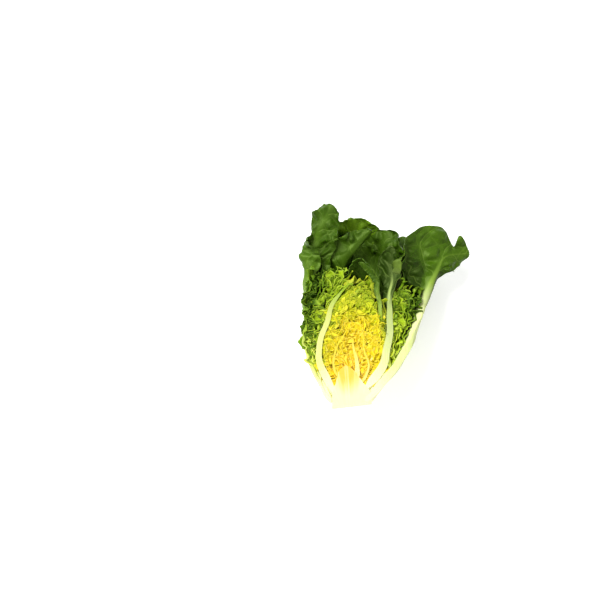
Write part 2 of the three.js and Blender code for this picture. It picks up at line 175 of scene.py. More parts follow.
# %% Short waves from a seeded draw
def crumple_waves(seed, count, shortest, longest, steepness, depth=0.8, wander=1.6):
    """Waves in drawn directions. `depth` is how much they run down into the head: a wave that
    does tilts upright sheets, so that the knife lays their faces bare and not only edges."""
    draw = np.random.default_rng(seed)
    waves = []
    for _ in range(count):
        flat = draw.uniform(0, 2 * np.pi)
        along = unit(np.array([np.cos(flat), np.sin(flat), draw.choice([-1, 1]) * depth]))
        shift = unit(np.cross(along, draw.normal(size=3)) * (1, 1, 0.5))
        wave = draw.uniform(shortest, longest)
        height = steepness * wave / (2 * np.pi)
        waves.append({
            "along": along, "shift": shift * height, "wave": wave, "start": draw.uniform(0, 6.28),
            "wander": wander,
        })
    return waves


HEART_CRUMPLE = (
    crumple_waves(seed=7, count=2, shortest=13, longest=18, steepness=1.0)
    + crumple_waves(seed=5, count=5, shortest=5.5, longest=8.5, steepness=1.1)
    + crumple_waves(seed=9, count=2, shortest=4.2, longest=5.5, steepness=0.7)
)
RUFFLE_CRUMPLE = (
    crumple_waves(seed=21, count=2, shortest=15, longest=19, steepness=0.9, depth=0.3)
    + crumple_waves(seed=23, count=4, shortest=7, longest=10, steepness=1.1, depth=0.6)
    + crumple_waves(seed=25, count=2, shortest=4.5, longest=6, steepness=0.7)
)
print("crumple waves", len(HEART_CRUMPLE), len(RUFFLE_CRUMPLE))

# %% [markdown]
# ## The middle surface of a leaf
#
# A leaf is a rib with a blade on each side. The rib is a curve in space. At each step along
# it, the blade leaves the rib square to it and bends round by an angle that grows with the
# distance: that is the curl. A folded leaf turns over further out, in a narrow band. Waves
# that grow towards the margin make the frill, because a blade's edge grows longer than its
# middle and has to buckle.

# %% The bend across a blade
BEND_STEPS = 96


def bend(leaf, side, s, reach):
    """How far a blade has gone across and inward at each s and reach, as shares of its half
    width, and the angle it has turned by there."""
    curl = np.radians(through(leaf.get("curl_" + side, leaf.get("curl", 0)), s))[:, None]
    fold = np.radians(through(leaf.get("fold_" + side, 0), s))[:, None]
    zone = leaf["fold_zone"]  # where across its half a folded blade turns over
    w = (np.arange(BEND_STEPS) + 0.5) / BEND_STEPS
    turn = curl * w + fold * smoothstep(w, *zone)
    at = reach * BEND_STEPS
    i = np.minimum(at.astype(int), BEND_STEPS - 1)
    u = at - i
    gone = []
    for step in (np.cos(turn), np.sin(turn)):
        sums = np.hstack([np.zeros((len(s), 1)), np.cumsum(step, axis=1)]) / BEND_STEPS
        gone.append(sums[:, i] * (1 - u) + sums[:, i + 1] * u)
    return *gone, curl * reach + fold * smoothstep(reach, *zone)


# %% The frill at a margin
FRILL_POWER = 1.5  # how a frill grows from the rib outwards
FRILL_START = (0.08, 0.4)  # where along a leaf its waves rise to full height
LEFT_SHIFT = 2.3  # how far the left margin's waves run ahead of the right's
RIPPLE = {"height": 0.45, "rate": 1.9, "start": 1.3, "skew": 2.0}
RUFFLE_START = (0.05, 0.3)  # where along a leaf its ruffles rise to full height
RUFFLE_POWER = 2.2  # how they grow from the rib outwards
RUFFLE_SHIFT = 1.7  # how far each row of ruffles runs ahead of the one before
RUFFLE_SKEW = 1.2  # how far a ruffle slants by the margin
RUFFLE_LEAN = 0.6
WANDER = ((1.1, 3.7), (0.7, 2.3))  # how far ruffles wander along the margin, and how slowly
SWING = (0.75, 0.35, 4.9)  # their least height, how much it swings, and how slowly


def frill(leaf, side_shift, s, reach):
    """How far the margin's waves lift the blade, in mm: one slow wave, and a ripple on it."""
    height, wave = leaf["frill"]
    phase = 2 * np.pi * leaf["length"] * s / wave + side_shift + leaf["seed"]
    ripple = np.sin(RIPPLE["rate"] * phase + RIPPLE["start"] + RIPPLE["skew"] * reach)
    grown = reach**FRILL_POWER * smoothstep(s, *FRILL_START)
    return height * grown * (np.sin(phase) + RIPPLE["height"] * ripple)


def ruffle(leaf, side_shift, s, reach):
    """The finer waves right at the margin, in mm, and how far they lean along the leaf. Their
    length and height change along the margin, so that no two folds are alike."""
    lift = np.zeros(np.broadcast_shapes(s.shape, reach.shape))
    lean = np.zeros_like(lift)
    seed = leaf["seed"]
    (far, slowly), (near, quickly) = WANDER
    least, more, slow = SWING
    for k, (height, wave) in enumerate(leaf["ruffles"]):
        along = 2 * np.pi * leaf["length"] * s / wave
        wander = far * np.sin(along / slowly + seed) + near * np.sin(along / quickly + 2 * seed + k)
        phase = along + wander + side_shift + RUFFLE_SHIFT * k + seed + RUFFLE_SKEW * reach
        swing = least + more * np.sin(along / slow + 3 * seed + side_shift)
        grown = height * swing * reach ** (RUFFLE_POWER + k) * smoothstep(s, *RUFFLE_START)
        lift = lift + grown * np.sin(phase)
        lean = lean + RUFFLE_LEAN * grown * np.sin(2 * phase + RUFFLE_LEAN)
    return lift, lean


# %% The outline of a blade
RIB_STEP = 0.004  # the step along a rib that gives its direction
TIP_LEAST = 0.004  # the square of the width share left at the very tip
LOBES = ((0.03, 3.1), (0.02, 1.3))  # height and length of the waves of a blade's outline
LOBES_START = (0.3, 0.5)  # where along a leaf they rise to full height


def half_width(leaf, side, s):
    """The blade's half width in mm: its last stretch is rounded off, and its margin has
    shallow lobes."""
    s = np.maximum(s, 0)
    along, tip = leaf["length"] * s, leaf["tip"]
    (high, slow), (low, quick) = LOBES
    lobes = high * np.sin(along / slow + leaf["seed"]) + low * np.sin(along / quick)
    past = np.maximum(0, np.minimum(s, 1) - 1 + tip) / tip
    wanted = through(leaf[side], s) * np.sqrt(np.maximum(1 - past * past, TIP_LEAST))
    for at, wide, deep in leaf.get("notches_" + side, []):
        wanted = wanted * (1 - deep * np.exp(-(((s - at) / wide) ** 2)))
    return wanted * (1 + lobes * smoothstep(s, *LOBES_START))


def middle_surface(leaf, s, t):
    """The middle of a leaf's blade at each s (root to tip) and t (-1 at the left margin, 0 on
    the rib, 1 at the right margin), in mm, and how far across it each point lies."""
    rib = through(leaf["rib"], s)
    forward = unit(through(leaf["rib"], s + RIB_STEP) - through(leaf["rib"], s - RIB_STEP))
    inward = through(leaf["inner"], s)
    inward = unit(inward - forward * np.sum(inward * forward, axis=1, keepdims=True))
    sideways = np.cross(forward, inward)
    halves = []
    for side, sign, part in (("left", -1, t < 0), ("right", 1, t >= 0)):
        reach = np.abs(t[part])
        width = half_width(leaf, side, s)[:, None]
        across, rise, turn = bend(leaf, side, s, reach)
        shift = LEFT_SHIFT if sign < 0 else 0.0
        lift = frill(leaf, shift, s[:, None], reach)
        fine, lean = ruffle(leaf, shift, s[:, None], reach)
        lift = (lift + fine) * through(leaf.get("frill_" + side, 1), s)[:, None]
        out = sign * (across * width - np.sin(turn) * lift)
        up = rise * width + np.cos(turn) * lift
        points = (
            rib[:, None, :]
            + out[..., None] * sideways[:, None, :]
            + up[..., None] * inward[:, None, :]
            + lean[..., None] * forward[:, None, :]
        )
        halves.append((points, sign * reach * width))
    return [np.concatenate(both, axis=1) for both in zip(*halves)]


# %% [markdown]
# ## From a surface to a leaf with two faces
#
# The blade is thin and the rib is thick, mostly on the outside, where it stands out as a
# keel. Both faces are grids of the same size, so the mesh closes with a strip along each
# edge. Each point remembers where on the leaf it is: how far across and along, how near the
# rib, and on which face. The finishes read these attributes later, so veins follow the leaf
# and not the room.

# %% Sizes that all leaves share
MARGIN_THIN = 0.7  # the share of a blade's thickness left at the margin
RIB_INSIDE = 0.3  # the share of a rib's thickness that stands inside the blade
RIB_LOSS = 0.85  # the share of its thickness that a rib loses towards the tip
RIB_POWER = 1.4
RIB_NARROWEST = 0.25
ROOT_PINCH = (-0.1, 0.03)  # where along a leaf its rib swells out of the core
MOST_ROOT = 0.06  # the share of a leaf's length that its root may add below it
FLOOR_SKIN = 1.0  # mm, the least height of an inner face above the table
ROW_CROWDING = 1.2  # rows stand closer towards the tip
STIFF_ACROSS = (1, 7)  # mm from the rib, where a blade gets free to crumple
STIFF_ALONG = (0.1, 0.45)  # the same along the leaf
FLAT_ACROSS = (2, 8)  # mm from the rib, where its quilting starts
PAINTED_SHADE_ACROSS = (0.1, 0.4)  # where across a blade its shade starts
QUILT_LOSS = 0.4  # how much flatter the quilting is at the margin
MARGIN_LIGHT = 0.08  # how much greener the margin is
NET_APART = 37  # mm between the cell nets of two leaves, for each step of their seeds


def rib_form(leaf, s, distance):
    """How much a rib swells the leaf, in mm, and a mask that is 1 on the rib."""
    half, thick = leaf["rib_size"]
    taper = (1 - RIB_LOSS * np.clip(s, 0, 1)) ** RIB_POWER
    wide, height = half * (RIB_NARROWEST + (1 - RIB_NARROWEST) * taper), thick * taper
    if "rib_wide" in leaf:
        wide = through(leaf["rib_wide"], np.maximum(s, 0))
    if "rib_thick" in leaf:
        height = through(leaf["rib_thick"], np.maximum(s, 0))
    bump = np.exp(-((distance / wide[:, None]) ** 2))
    height = (height * smoothstep(s, *ROOT_PINCH))[:, None]
    flat_top = smoothstep(bump, 0.0, 0.85)
    return height * bump, flat_top * smoothstep(height, 0.2, 2.0)


def sheet_faces(rows, columns):
    """Quads of an inner and an outer grid of points, joined by a rim, all facing out."""
    inner = np.arange((rows + 1) * (columns + 1)).reshape(rows + 1, columns + 1)
    outer = inner + inner.size

    def quads(a, b, c, d):
        return np.stack([a, b, c, d], axis=-1).reshape(-1, 4)

    return np.vstack([
        quads(inner[:-1, :-1], inner[:-1, 1:], inner[1:, 1:], inner[1:, :-1]),
        quads(outer[:-1, :-1], outer[1:, :-1], outer[1:, 1:], outer[:-1, 1:]),
        quads(inner[0, :-1], outer[0, :-1], outer[0, 1:], inner[0, 1:]),
        quads(inner[-1, :-1], inner[-1, 1:], outer[-1, 1:], outer[-1, :-1]),
        quads(inner[:-1, 0], inner[1:, 0], outer[1:, 0], outer[:-1, 0]),
        quads(inner[:-1, -1], outer[:-1, -1], outer[1:, -1], inner[1:, -1]),
    ])


# %% A leaf as a mesh with its attributes
def put_attribute(mesh, name, kind, values):
    field = {"FLOAT_VECTOR": "vector", "FLOAT_COLOR": "color", "FLOAT": "value"}[kind]
    attribute = mesh.attributes.new(name, kind, "POINT")
    attribute.data.foreach_set(field, np.asarray(values, np.float32).ravel())


def leaf_mesh(leaf):
    """One leaf as a closed mesh in the part's frame, with the attributes its finish reads:
    blade (metres across and along, and a seed), zone (rib, reach, s, inner face), out (the
    blade's normal), quilting (where the blade is quilted) and light (how green it grew, with
    painted shade added where the leaf's shade entry darkens a band of its blade)."""
    rows, columns = leaf["rows"], leaf["columns"]
    start = -min(leaf["root_reach"] / leaf["length"], MOST_ROOT)
    s = start + (1 - start) * (1 - (1 - np.linspace(0, 1, rows + 1)) ** ROW_CROWDING)
    t = np.linspace(-1, 1, columns + 1)
    middle, distance = middle_surface(leaf, s, t)
    middle = shifted(middle, SWAY, leaf["sway"])
    reach = np.abs(np.broadcast_to(t, distance.shape))
    along_leaf = np.broadcast_to(s[:, None], distance.shape)
    from_rib = np.abs(distance)
    free = smoothstep(from_rib, *STIFF_ACROSS) * smoothstep(along_leaf, *STIFF_ALONG)
    if "crumple" in leaf:
        middle = shifted(middle, leaf["crumple"], between(leaf["crumple_reach"], free))
    normal = unit(np.cross(np.gradient(middle, axis=1), np.gradient(middle, axis=0)))
    swell, rib = rib_form(leaf, s, distance)
    blade = leaf["blade"] / 2 * (1 - (1 - MARGIN_THIN) * reach**4)
    inner = middle + normal * (blade + RIB_INSIDE * swell)[..., None]
    outer = middle - normal * (blade + (1 - RIB_INSIDE) * swell)[..., None]
    inner[..., 2] = np.maximum(inner[..., 2], FLOOR_SKIN)
    outer[..., 2] = np.maximum(outer[..., 2], 0)
    points = to_part(np.concatenate([inner.reshape(-1, 3), outer.reshape(-1, 3)]))

    mesh = bpy.data.meshes.new(leaf["name"])
    mesh.from_pydata(points.tolist(), [], sheet_faces(rows, columns).tolist())
    mesh.shade_smooth()
    light = between(leaf["light"], smoothstep(along_leaf, *leaf["light_rise"]))
    # The shade entry (where along, how wide, how much) is painted shade: it pushes a band across the
    # blade towards the ramp's darkest greens, standing in for the shadow where a cupped blade dips.
    at, wide, much = leaf["shade"]
    shade = much * np.exp(-(((along_leaf - at) / wide) ** 2))
    light = light + shade * smoothstep(reach, *PAINTED_SHADE_ACROSS)
    rib_light = between(leaf["rib_light"], smoothstep(along_leaf, *leaf["rib_light_rise"]))
    quilting = smoothstep(from_rib, *FLAT_ACROSS) * smoothstep(along_leaf, *leaf["quilted_from"])
    length = np.broadcast_to(leaf["length"] * s[:, None], distance.shape)
    seed = np.full(distance.shape, leaf["seed"])
    zone = np.stack([rib, reach, along_leaf + leaf["past_foot"]], -1)
    for name, kind, values in (
        ("blade", "FLOAT_VECTOR", np.stack([distance * MM, length * MM, seed], -1)),
        ("net", "FLOAT_VECTOR", (middle + NET_APART * leaf["seed"]) * MM),
        ("zone", "FLOAT_COLOR", zone),
        ("out", "FLOAT_VECTOR", normal),
        ("quilting", "FLOAT", quilting * (1 - QUILT_LOSS * reach**6)),
        ("light", "FLOAT", light + MARGIN_LIGHT * (reach - 0.5)),
        ("rib_light", "FLOAT", rib_light),
    ):
        values = np.concatenate([values.reshape(-1, *values.shape[2:])] * 2)
        if name == "zone":
            values = np.column_stack([values, np.repeat([1.0, 0.0], distance.size)])
        put_attribute(mesh, name, kind, values)
    return mesh


# %% [markdown]
# ## The veins and the quilted blade
#
# From the rib, side veins leave at an angle and run towards the margin. Between them a net of
# finer veins splits the blade into cells, and each cell swells a little, so a romaine leaf
# looks quilted. One rule draws both: it measures how far a point is from the nearest side
# vein and from the nearest edge of a cell. The same nodes are used twice, in Geometry Nodes
# to raise the cells and in the shader to colour the veins, so the two always agree.

# %% Nodes written as sums
class Flow:
    """What flows out of a node: a number, a vector, a colour or a shape. Arithmetic on it adds
    the math nodes that do the same."""

    def __init__(self, socket):
        self.socket = socket

    def __add__(self, other):
        return calc("ADD", self, other)

    def __sub__(self, other):
        return calc("SUBTRACT", self, other)

    def __mul__(self, other):
        return calc("MULTIPLY", self, other)

    def __truediv__(self, other):
        return calc("DIVIDE", self, other)


def flows(node):
    """All that flows out of a node, by name."""
    return {socket.name: Flow(socket) for socket in node.outputs if socket.name}


def fill(node, inputs):
    """Links or sets a node's inputs, which are given by name or by number."""
    for key, value in dict(inputs).items():
        if isinstance(value, Flow):
            node.id_data.links.new(value.socket, node.inputs[key])
        else:
            node.inputs[key].default_value = value


def add(kind, inputs=(), give=0, tree=None, **settings):
    """A new node, with its settings made and its inputs filled; hands back one output. It
    belongs to the tree that its inputs come from, unless the tree is given."""
    inputs = dict(inputs)
    if not tree:
        tree = next(value.socket.id_data for value in inputs.values() if isinstance(value, Flow))
    node = tree.nodes.new(kind)
    for name, value in settings.items():
        setattr(node, name, value)
    fill(node, inputs)
    return Flow(node.outputs[give])


def calc(operation, *values, clamp=False):
    return add("ShaderNodeMath", enumerate(values), operation=operation, use_clamp=clamp)


def vector_calc(operation, a, b):
    return add("ShaderNodeVectorMath", {0: a, 1: b}, operation=operation)


def scaled(vector, by):
    return add("ShaderNodeVectorMath", {0: vector, "Scale": by}, operation="SCALE")


def ease(value, low, high, start=0.0, end=1.0):
    """A smooth step from start to end as value goes from low to high."""
    inputs = enumerate((value, low, high, start, end))
    return add("ShaderNodeMapRange", inputs, interpolation_type="SMOOTHSTEP")


def noise(vector, scale, detail=2.0):
    return add("ShaderNodeTexNoise", {"Vector": vector, "Scale": scale, "Detail": detail})


def split(vector):
    return list(flows(add("ShaderNodeSeparateXYZ", {0: vector}).socket.node).values())


def join(x, y, z):
    return add("ShaderNodeCombineXYZ", enumerate((x, y, z)))


# %% The rule for the veins
VEIN_STEP = 0.021  # metres between side veins along the rib
VEIN_RISE = 0.9  # how steeply a side vein climbs towards the tip
VEIN_SHIFT = 0.22  # how far the left side's veins start from the right's, in steps
VEIN_REACH = 0.75  # how a way along the rib shortens to a way square to a vein
CELL = 0.015  # metres across a cell of the net
CELL_BEND = 0.002  # metres, how far the net is bent


def vein_rule(place, net, step, cell):
    """From a point's place on the blade, and in the flat net: a dome over each cell, and the
    veins between."""
    across, along, _ = split(place)
    wander = noise(place, 60.0, 1.0) - 0.5
    climbed = along - calc("ABSOLUTE", across) * VEIN_RISE
    order = climbed / step + calc("SIGN", across) * VEIN_SHIFT + wander
    from_vein = calc("ABSOLUTE", calc("FRACT", order) - 0.5) * step * VEIN_REACH

    bend_net = join(noise(place, 130.0, 1.0) * CELL_BEND, 0.0, 0.0)
    net = vector_calc("ADD", net, bend_net)
    cells = {"Vector": net, "Scale": calc("DIVIDE", 1.0, cell), "Randomness": 0.85}
    edge = add("ShaderNodeTexVoronoi", cells, "Distance", feature="DISTANCE_TO_EDGE")

    side_vein = ease(from_vein, 0.0001, 0.0006, 0.8, 0.0)
    fine_vein = ease(edge, 0.004, 0.03, 0.26, 0.0)
    dome = ease(edge, 0.0, 0.34) * ease(from_vein, 0.0, 0.0035, 0.1, 1.0)
    return dome, calc("MAXIMUM", side_vein, fine_vein)


# %% The Geometry Nodes tree that quilts a blade
def new_group(name, kind, inputs, *outputs, gives="Float"):
    """A node group. Each input is given by its kind, or by the number that it starts from."""
    tree = bpy.data.node_groups.new(name, kind + "NodeTree")
    for way, sockets in (("INPUT", inputs), ("OUTPUT", dict.fromkeys(outputs, gives))):
        for label, given in sockets.items():
            of = given if isinstance(given, str) else {int: "Int", float: "Float"}[type(given)]
            made = tree.interface.new_socket(label, in_out=way, socket_type="NodeSocket" + of)
            if of != given:
                made.default_value = given
    return tree, flows(tree.nodes.new("NodeGroupInput")), tree.nodes.new("NodeGroupOutput")


def shape_group(name, sizes):
    """A group that takes a shape, some sizes and a material, and gives a shape."""
    inputs = {"Geometry": "Geometry", **sizes, "Material": "Material"}
    return new_group(name, "Geometry", inputs, "Geometry", gives="Geometry")


def finish_shape(shape, given, result):
    """Ends such a group: the shape gets the material, and is what the group gives."""
    painted = {"Geometry": shape, "Material": given["Material"]}
    fill(result, {0: add("GeometryNodeSetMaterial", painted)})


def named(tree, name, kind="FLOAT"):
    return add("GeometryNodeInputNamedAttribute", {"Name": name}, "Attribute", tree, data_type=kind)


def move(shape, by, how="Offset"):
    return add("GeometryNodeSetPosition", {"Geometry": shape, how: by})


def quilted_blade_tree():
    sizes = {"Quilt Height": 0.001, "Vein Step": VEIN_STEP, "Cell Size": CELL}
    tree, given, result = shape_group("quilted blade", sizes)
    place, net, out = (named(tree, name, "FLOAT_VECTOR") for name in ("blade", "net", "out"))
    dome, _ = vein_rule(place, net, given["Vein Step"], given["Cell Size"])
    height = (dome - 0.45) * given["Quilt Height"] * named(tree, "quilting")
    moved = move(given["Geometry"], scaled(out, height))
    finish_shape(add("GeometryNodeRealizeInstances", {0: moved}), given, result)
    return tree


QUILTED_BLADE = quilted_blade_tree()


# %% Running a tree and keeping its result
def put(name, data):
    """A new object in the scene."""
    made = bpy.data.objects.new(name, data)
    bpy.context.scene.collection.objects.link(made)
    return made


def with_tree(mesh, tree, name, **inputs):
    """The mesh that a Geometry Nodes tree makes of another, with the tree's inputs set."""
    helper = put(name + "_draft", mesh)
    modifier = helper.modifiers.new(tree.name, "NODES")
    modifier.node_group = tree
    for item in tree.interface.items_tree:
        label = item.name.replace(" ", "_")
        if item.in_out == "INPUT" and label in inputs:
            modifier[item.identifier] = inputs[label]
    bpy.context.view_layer.update()
    evaluated = helper.evaluated_get(bpy.context.evaluated_depsgraph_get())
    made = bpy.data.meshes.new_from_object(evaluated)
    bpy.data.objects.remove(helper)
    return made


# %% [markdown]
# ## The knife
#
# The real head was built whole by nature and then cut. So each leaf here is made whole too,
# and a plane trims it. The cut edges are filled, because a cut blade shows its own thickness,
# and marked sharp, so that the flat face doesn't shade as if it were round.

# %% Cutting a mesh at the knife plane
KNIFE_STEP = 0.015  # mm between the cut faces of two leaves, so none flickers through another
SCRAP_SHARE = 0.12  # pieces smaller than this share of the largest are let go


def islands(verts):
    """The connected groups of vertices in a bmesh."""
    left = set(verts)
    groups = []
    while left:
        group = [left.pop()]
        for vert in group:
            near = {edge.other_vert(vert) for edge in vert.link_edges} & left
            left -= near
            group.extend(near)
        groups.append(group)
    return groups


def slice_off(bm, place, way):
    """Cuts off what lies past a plane, and fills the cut."""
    everything = bm.verts[:] + bm.edges[:] + bm.faces[:]
    made = bmesh.ops.bisect_plane(bm, geom=everything, plane_co=place, plane_no=way, clear_outer=True)
    rim = [e for e in made["geom_cut"] if isinstance(e, bmesh.types.BMEdge)]
    for edge in rim:
        edge.smooth = False
    if rim:
        bmesh.ops.triangle_fill(bm, edges=rim, use_beauty=True, normal=way)


def knife(mesh, lower=0.0):
    """Trims a mesh at the knife plane, fills the cut, and drops loose scraps."""
    bm = bmesh.new()
    bm.from_mesh(mesh)
    slice_off(bm, (0, 0, (CUT_HEIGHT - lower) * MM), (0, 0, 1))
    groups = islands(bm.verts)
    largest = max(len(group) for group in groups)
    scraps = [v for group in groups if len(group) < SCRAP_SHARE * largest for v in group]
    bmesh.ops.delete(bm, geom=scraps, context="VERTS")
    bm.to_mesh(mesh)
    bm.free()


# %% [markdown]
# ## Finishes
#
# A leaf has three kinds of surface: the blade, the rib, and the tissue that the knife laid
# open. All three change with how much light the leaf grew in. The hidden heart is yellow,
# the margins outside are dark green, and every rib fades to cream at its foot. A colour ramp
# turns one number, the light, into these colours, and the same ramp serves a whole leaf.

# %% Colours, from the display colour a maker would pick
def colour(red, green, blue):
    """A display colour of 0 to 255 as the linear colour that nodes work in."""
    shares = [value / 255 for value in (red, green, blue)]
    linear = [((v + 0.055) / 1.055) ** 2.4 if v > 0.04045 else v / 12.92 for v in shares]
    return (*linear, 1.0)


# Each stop is a light of 0 to 1 and its display colour.
BLADE_COLOURS = {
    "outer_leaf": [
        (0.0, 214, 220, 130), (0.18, 160, 182, 56), (0.4, 92, 122, 20),
        (0.6, 62, 92, 10), (0.82, 44, 70, 6), (1.0, 28, 48, 3),
    ],
    "middle_leaf": [
        (0.0, 228, 228, 110), (0.2, 204, 216, 56), (0.42, 158, 184, 34),
        (0.68, 96, 128, 20), (1.0, 42, 68, 6),
    ],
    "heart_leaf": [
        (0.0, 238, 196, 40), (0.25, 226, 200, 28), (0.5, 212, 204, 28),
        (0.75, 172, 184, 24), (1.0, 126, 150, 20),
    ],
}
RIB_COLOURS = {
    "outer_leaf": [(0.0, 216, 220, 156), (0.35, 166, 178, 116), (0.7, 124, 150, 56), (1.0, 74, 106, 22)],
    "middle_leaf": [(0.0, 218, 218, 144), (0.4, 190, 194, 110), (0.65, 150, 172, 70), (1.0, 78, 108, 28)],
    "heart_leaf": [(0.0, 236, 224, 146), (0.5, 226, 206, 88), (1.0, 204, 188, 62)],
}
# Pale greens for the veins, and for the painted light that seems to shine through a thin margin.
VEIN_AND_EDGE_LIGHT_COLOURS = {
    "outer_leaf": colour(124, 152, 62),
    "middle_leaf": colour(186, 206, 84),
    "heart_leaf": colour(250, 240, 120),
}
FOOT_COLOURS = {
    "outer_leaf": colour(233, 231, 184),
    "middle_leaf": colour(233, 231, 184),
    "heart_leaf": colour(238, 202, 70),
}
FIBRE_COLOUR = colour(176, 190, 104)


# %% Shared effects as shader groups
def ramp(value, stops):
    shade = add("ShaderNodeValToRGB", {"Fac": value})
    elements = shade.socket.node.color_ramp.elements
    while len(elements) < len(stops):
        elements.new(0.5)
    for element, (position, *display) in zip(elements, stops):
        element.position = position
        element.color = colour(*display)
    return shade


def mix(factor, a, b):
    return add("ShaderNodeMix", {0: factor, 6: a, 7: b}, 2, data_type="RGBA")


def bump(height, strength, distance):
    return add("ShaderNodeBump", {"Height": height, "Strength": strength, "Distance": distance})


def vein_group():
    """The vein rule as a shader group: where the veins and the cells of a blade are."""
    inputs = {"Place": "Vector", "Net": "Vector", "Vein Step": VEIN_STEP, "Cell Size": CELL}
    tree, given, result = new_group("blade veins", "Shader", inputs, "Dome", "Vein")
    fill(result, enumerate(vein_rule(*given.values())))
    return tree


def cut_tissue_group():
    """Where the knife laid a leaf open, and the fine wet grain that shows there."""
    inputs = {"Position": "Vector", "Cut Height": CUT_HEIGHT * MM}
    tree, given, result = new_group("cut tissue", "Shader", inputs, "Cut", "Grain")
    place, top = given["Position"], given["Cut Height"]
    opened = ease(split(place)[2], top - 0.0009, top - 0.0008)
    stretched = vector_calc("MULTIPLY", place, (1.0, 0.06, 1.0))
    fill(result, {"Cut": opened, "Grain": noise(stretched, 900.0, 3.0)})
    return tree


def skin_group():
    """The fine relief and the uneven gloss of a leaf's skin."""
    inputs = {"Place": "Vector", "Position": "Vector", "Gloss": 0.4}
    tree, given, result = new_group("leaf skin", "Shader", inputs, "Relief", "Roughness", "Mottle")
    streak = noise(vector_calc("MULTIPLY", given["Place"], (1.0, 0.12, 1.0)), 1400.0)
    pores = noise(given["Position"], 1100.0)
    mottle = noise(given["Position"], 60.0, 3.0)
    rough = given["Gloss"] + (mottle - 0.5) * 0.35
    fill(result, {"Relief": streak * 0.4 + pores * 0.6, "Roughness": rough, "Mottle": mottle})
    return tree


VEINS = vein_group()
CUT_TISSUE = cut_tissue_group()
SKIN = skin_group()


def use_group(tree, group, *inputs):
    node = tree.nodes.new("ShaderNodeGroup")
    node.node_tree = group
    fill(node, enumerate(inputs))
    return flows(node)


# %% The leaf finish
def new_material(name):
    material = bpy.data.materials.new(name)
    material.use_nodes = True
    return material, material.node_tree, material.node_tree.nodes["Principled BSDF"]


def attribute(tree, name):
    return flows(add("ShaderNodeAttribute", tree=tree, attribute_name=name).socket.node)


def leaf_finish(slot, gloss, vein_strength, translucency, relief, edge_light_strength):
    """The finish of every leaf in one of the record's slots."""
    material, tree, surface = new_material(slot)
    place = attribute(tree, "blade")["Vector"]
    zone = attribute(tree, "zone")
    rib, reach, along = split(zone["Vector"])
    position = add("ShaderNodeTexCoord", give="Object", tree=tree)
    veins = use_group(tree, VEINS, place, attribute(tree, "net")["Vector"])
    skin = use_group(tree, SKIN, place, position, gloss)
    cut = use_group(tree, CUT_TISSUE, position)

    uneven = (skin["Mottle"] - 0.5) * 0.3
    lit = calc("ADD", attribute(tree, "light")["Fac"], uneven, clamp=True)
    blade = ramp(lit, BLADE_COLOURS[slot])
    rib_colour = ramp(attribute(tree, "rib_light")["Fac"], RIB_COLOURS[slot])
    vein = veins["Vein"] * ease(lit, 0.4, 1.0, vein_strength, vein_strength / 2)
    blade = mix(vein, blade, VEIN_AND_EDGE_LIGHT_COLOURS[slot])
    underside = calc("SUBTRACT", 1.0, zone["Alpha"]) * 0.33
    blade = mix(underside, blade, rib_colour)
    # Painted light: the blade's margin is mixed towards a paler green, as if light shone through its thin
    # edge, more strongly on paler leaves.
    rim = ease(reach, 0.8, 1.0) * ease(lit, 0.3, 0.9, edge_light_strength, 0.0)
    blade = mix(rim, blade, VEIN_AND_EDGE_LIGHT_COLOURS[slot])
    whole = mix(rib, blade, rib_colour)
    opened = mix(cut["Grain"] * 0.3, blade, rib_colour)
    fibres = mix(ease(cut["Grain"], 0.4, 0.62, 0.0, 0.4), rib_colour, FIBRE_COLOUR)
    opened = mix(rib, opened, fibres)
    whole = mix(cut["Cut"] * 0.8, whole, opened)
    whole = mix(ease(along, 0.04, 0.26, 1.0, 0.0), whole, FOOT_COLOURS[slot])

    low_veins = veins["Vein"] * ease(cut["Cut"], 0.0, 0.5, -0.9, 0.0)
    height = skin["Relief"] + low_veins + veins["Dome"] * 1.2
    fill(surface, {
        "Base Color": whole,
        "Roughness": skin["Roughness"],
        "Normal": bump(height, relief, 0.0004),
        "Specular IOR Level": 0.3,
        "Specular Tint": (0.75, 1.0, 0.3, 1),
        "Subsurface Weight": translucency,
        "Subsurface Radius": (0.8, 1.0, 0.25),
        "Subsurface Scale": 0.002,
    })
    return material


# For each slot: gloss, strength of the veins, translucency, relief, strength of the painted light at the
# margin.
FINISH = {
    slot: leaf_finish(slot, *numbers)
    for slot, numbers in {
        "outer_leaf": (0.46, 0.42, 0.12, 0.5, 0.15),
        "middle_leaf": (0.45, 0.25, 0.25, 0.4, 0.35),
        "heart_leaf": (0.5, 0.2, 0.35, 0.3, 0.3),
    }.items()
}

# %% [markdown]
# ## The leaves round the head
#
# Most leaves lie on a shell: the head's outer form, made narrower for the inner ones. The
# leaf's turn round the axis places it, and its spread says how far round it reaches. A few
# leaves leave the shell: they lean out, twist or fold over, and have ribs of their own.

# %% Leaves that lie on a shell
SHELL_RADIUS = [13, 35, 46, 48, 48, 45, 39, 30]
SHELL_LENGTH = 210
SHELL_SHARE = [0.6, 0.7, 0.95, 1, 1, 0.95, 0.85]


def round_axis(y, radius, turn):
    """A point at a distance from the head's axis, turned round it: 0 degrees is to the right
    and 90 is underneath."""
    angle = np.radians(turn)
    return np.stack([AXIS_LEAN * y + radius * np.cos(angle), y, CUT_HEIGHT - radius * np.sin(angle)], -1)


def inward_at(turn):
    angle = np.radians(turn)
    return np.stack([-np.cos(angle), np.zeros_like(angle), np.sin(angle)], -1)


def shell_leaf(turn, girth, root, top, spread, share):
    """A leaf from `root` to `top` along the axis, on a shell `girth` times the head's form."""
    s = np.linspace(0, 1, 7)
    y = between((root, top), s)
    radius = through(girth, s) * through(SHELL_RADIUS, y / SHELL_LENGTH)
    turned = through(turn, s)
    kept = through(share, s)
    half = radius * np.radians(spread) * kept
    return {
        "rib": round_axis(y, radius, turned), "inner": inward_at(turned), "left": half, "right": half,
        "curl": spread * kept, "length": top - root,
    }


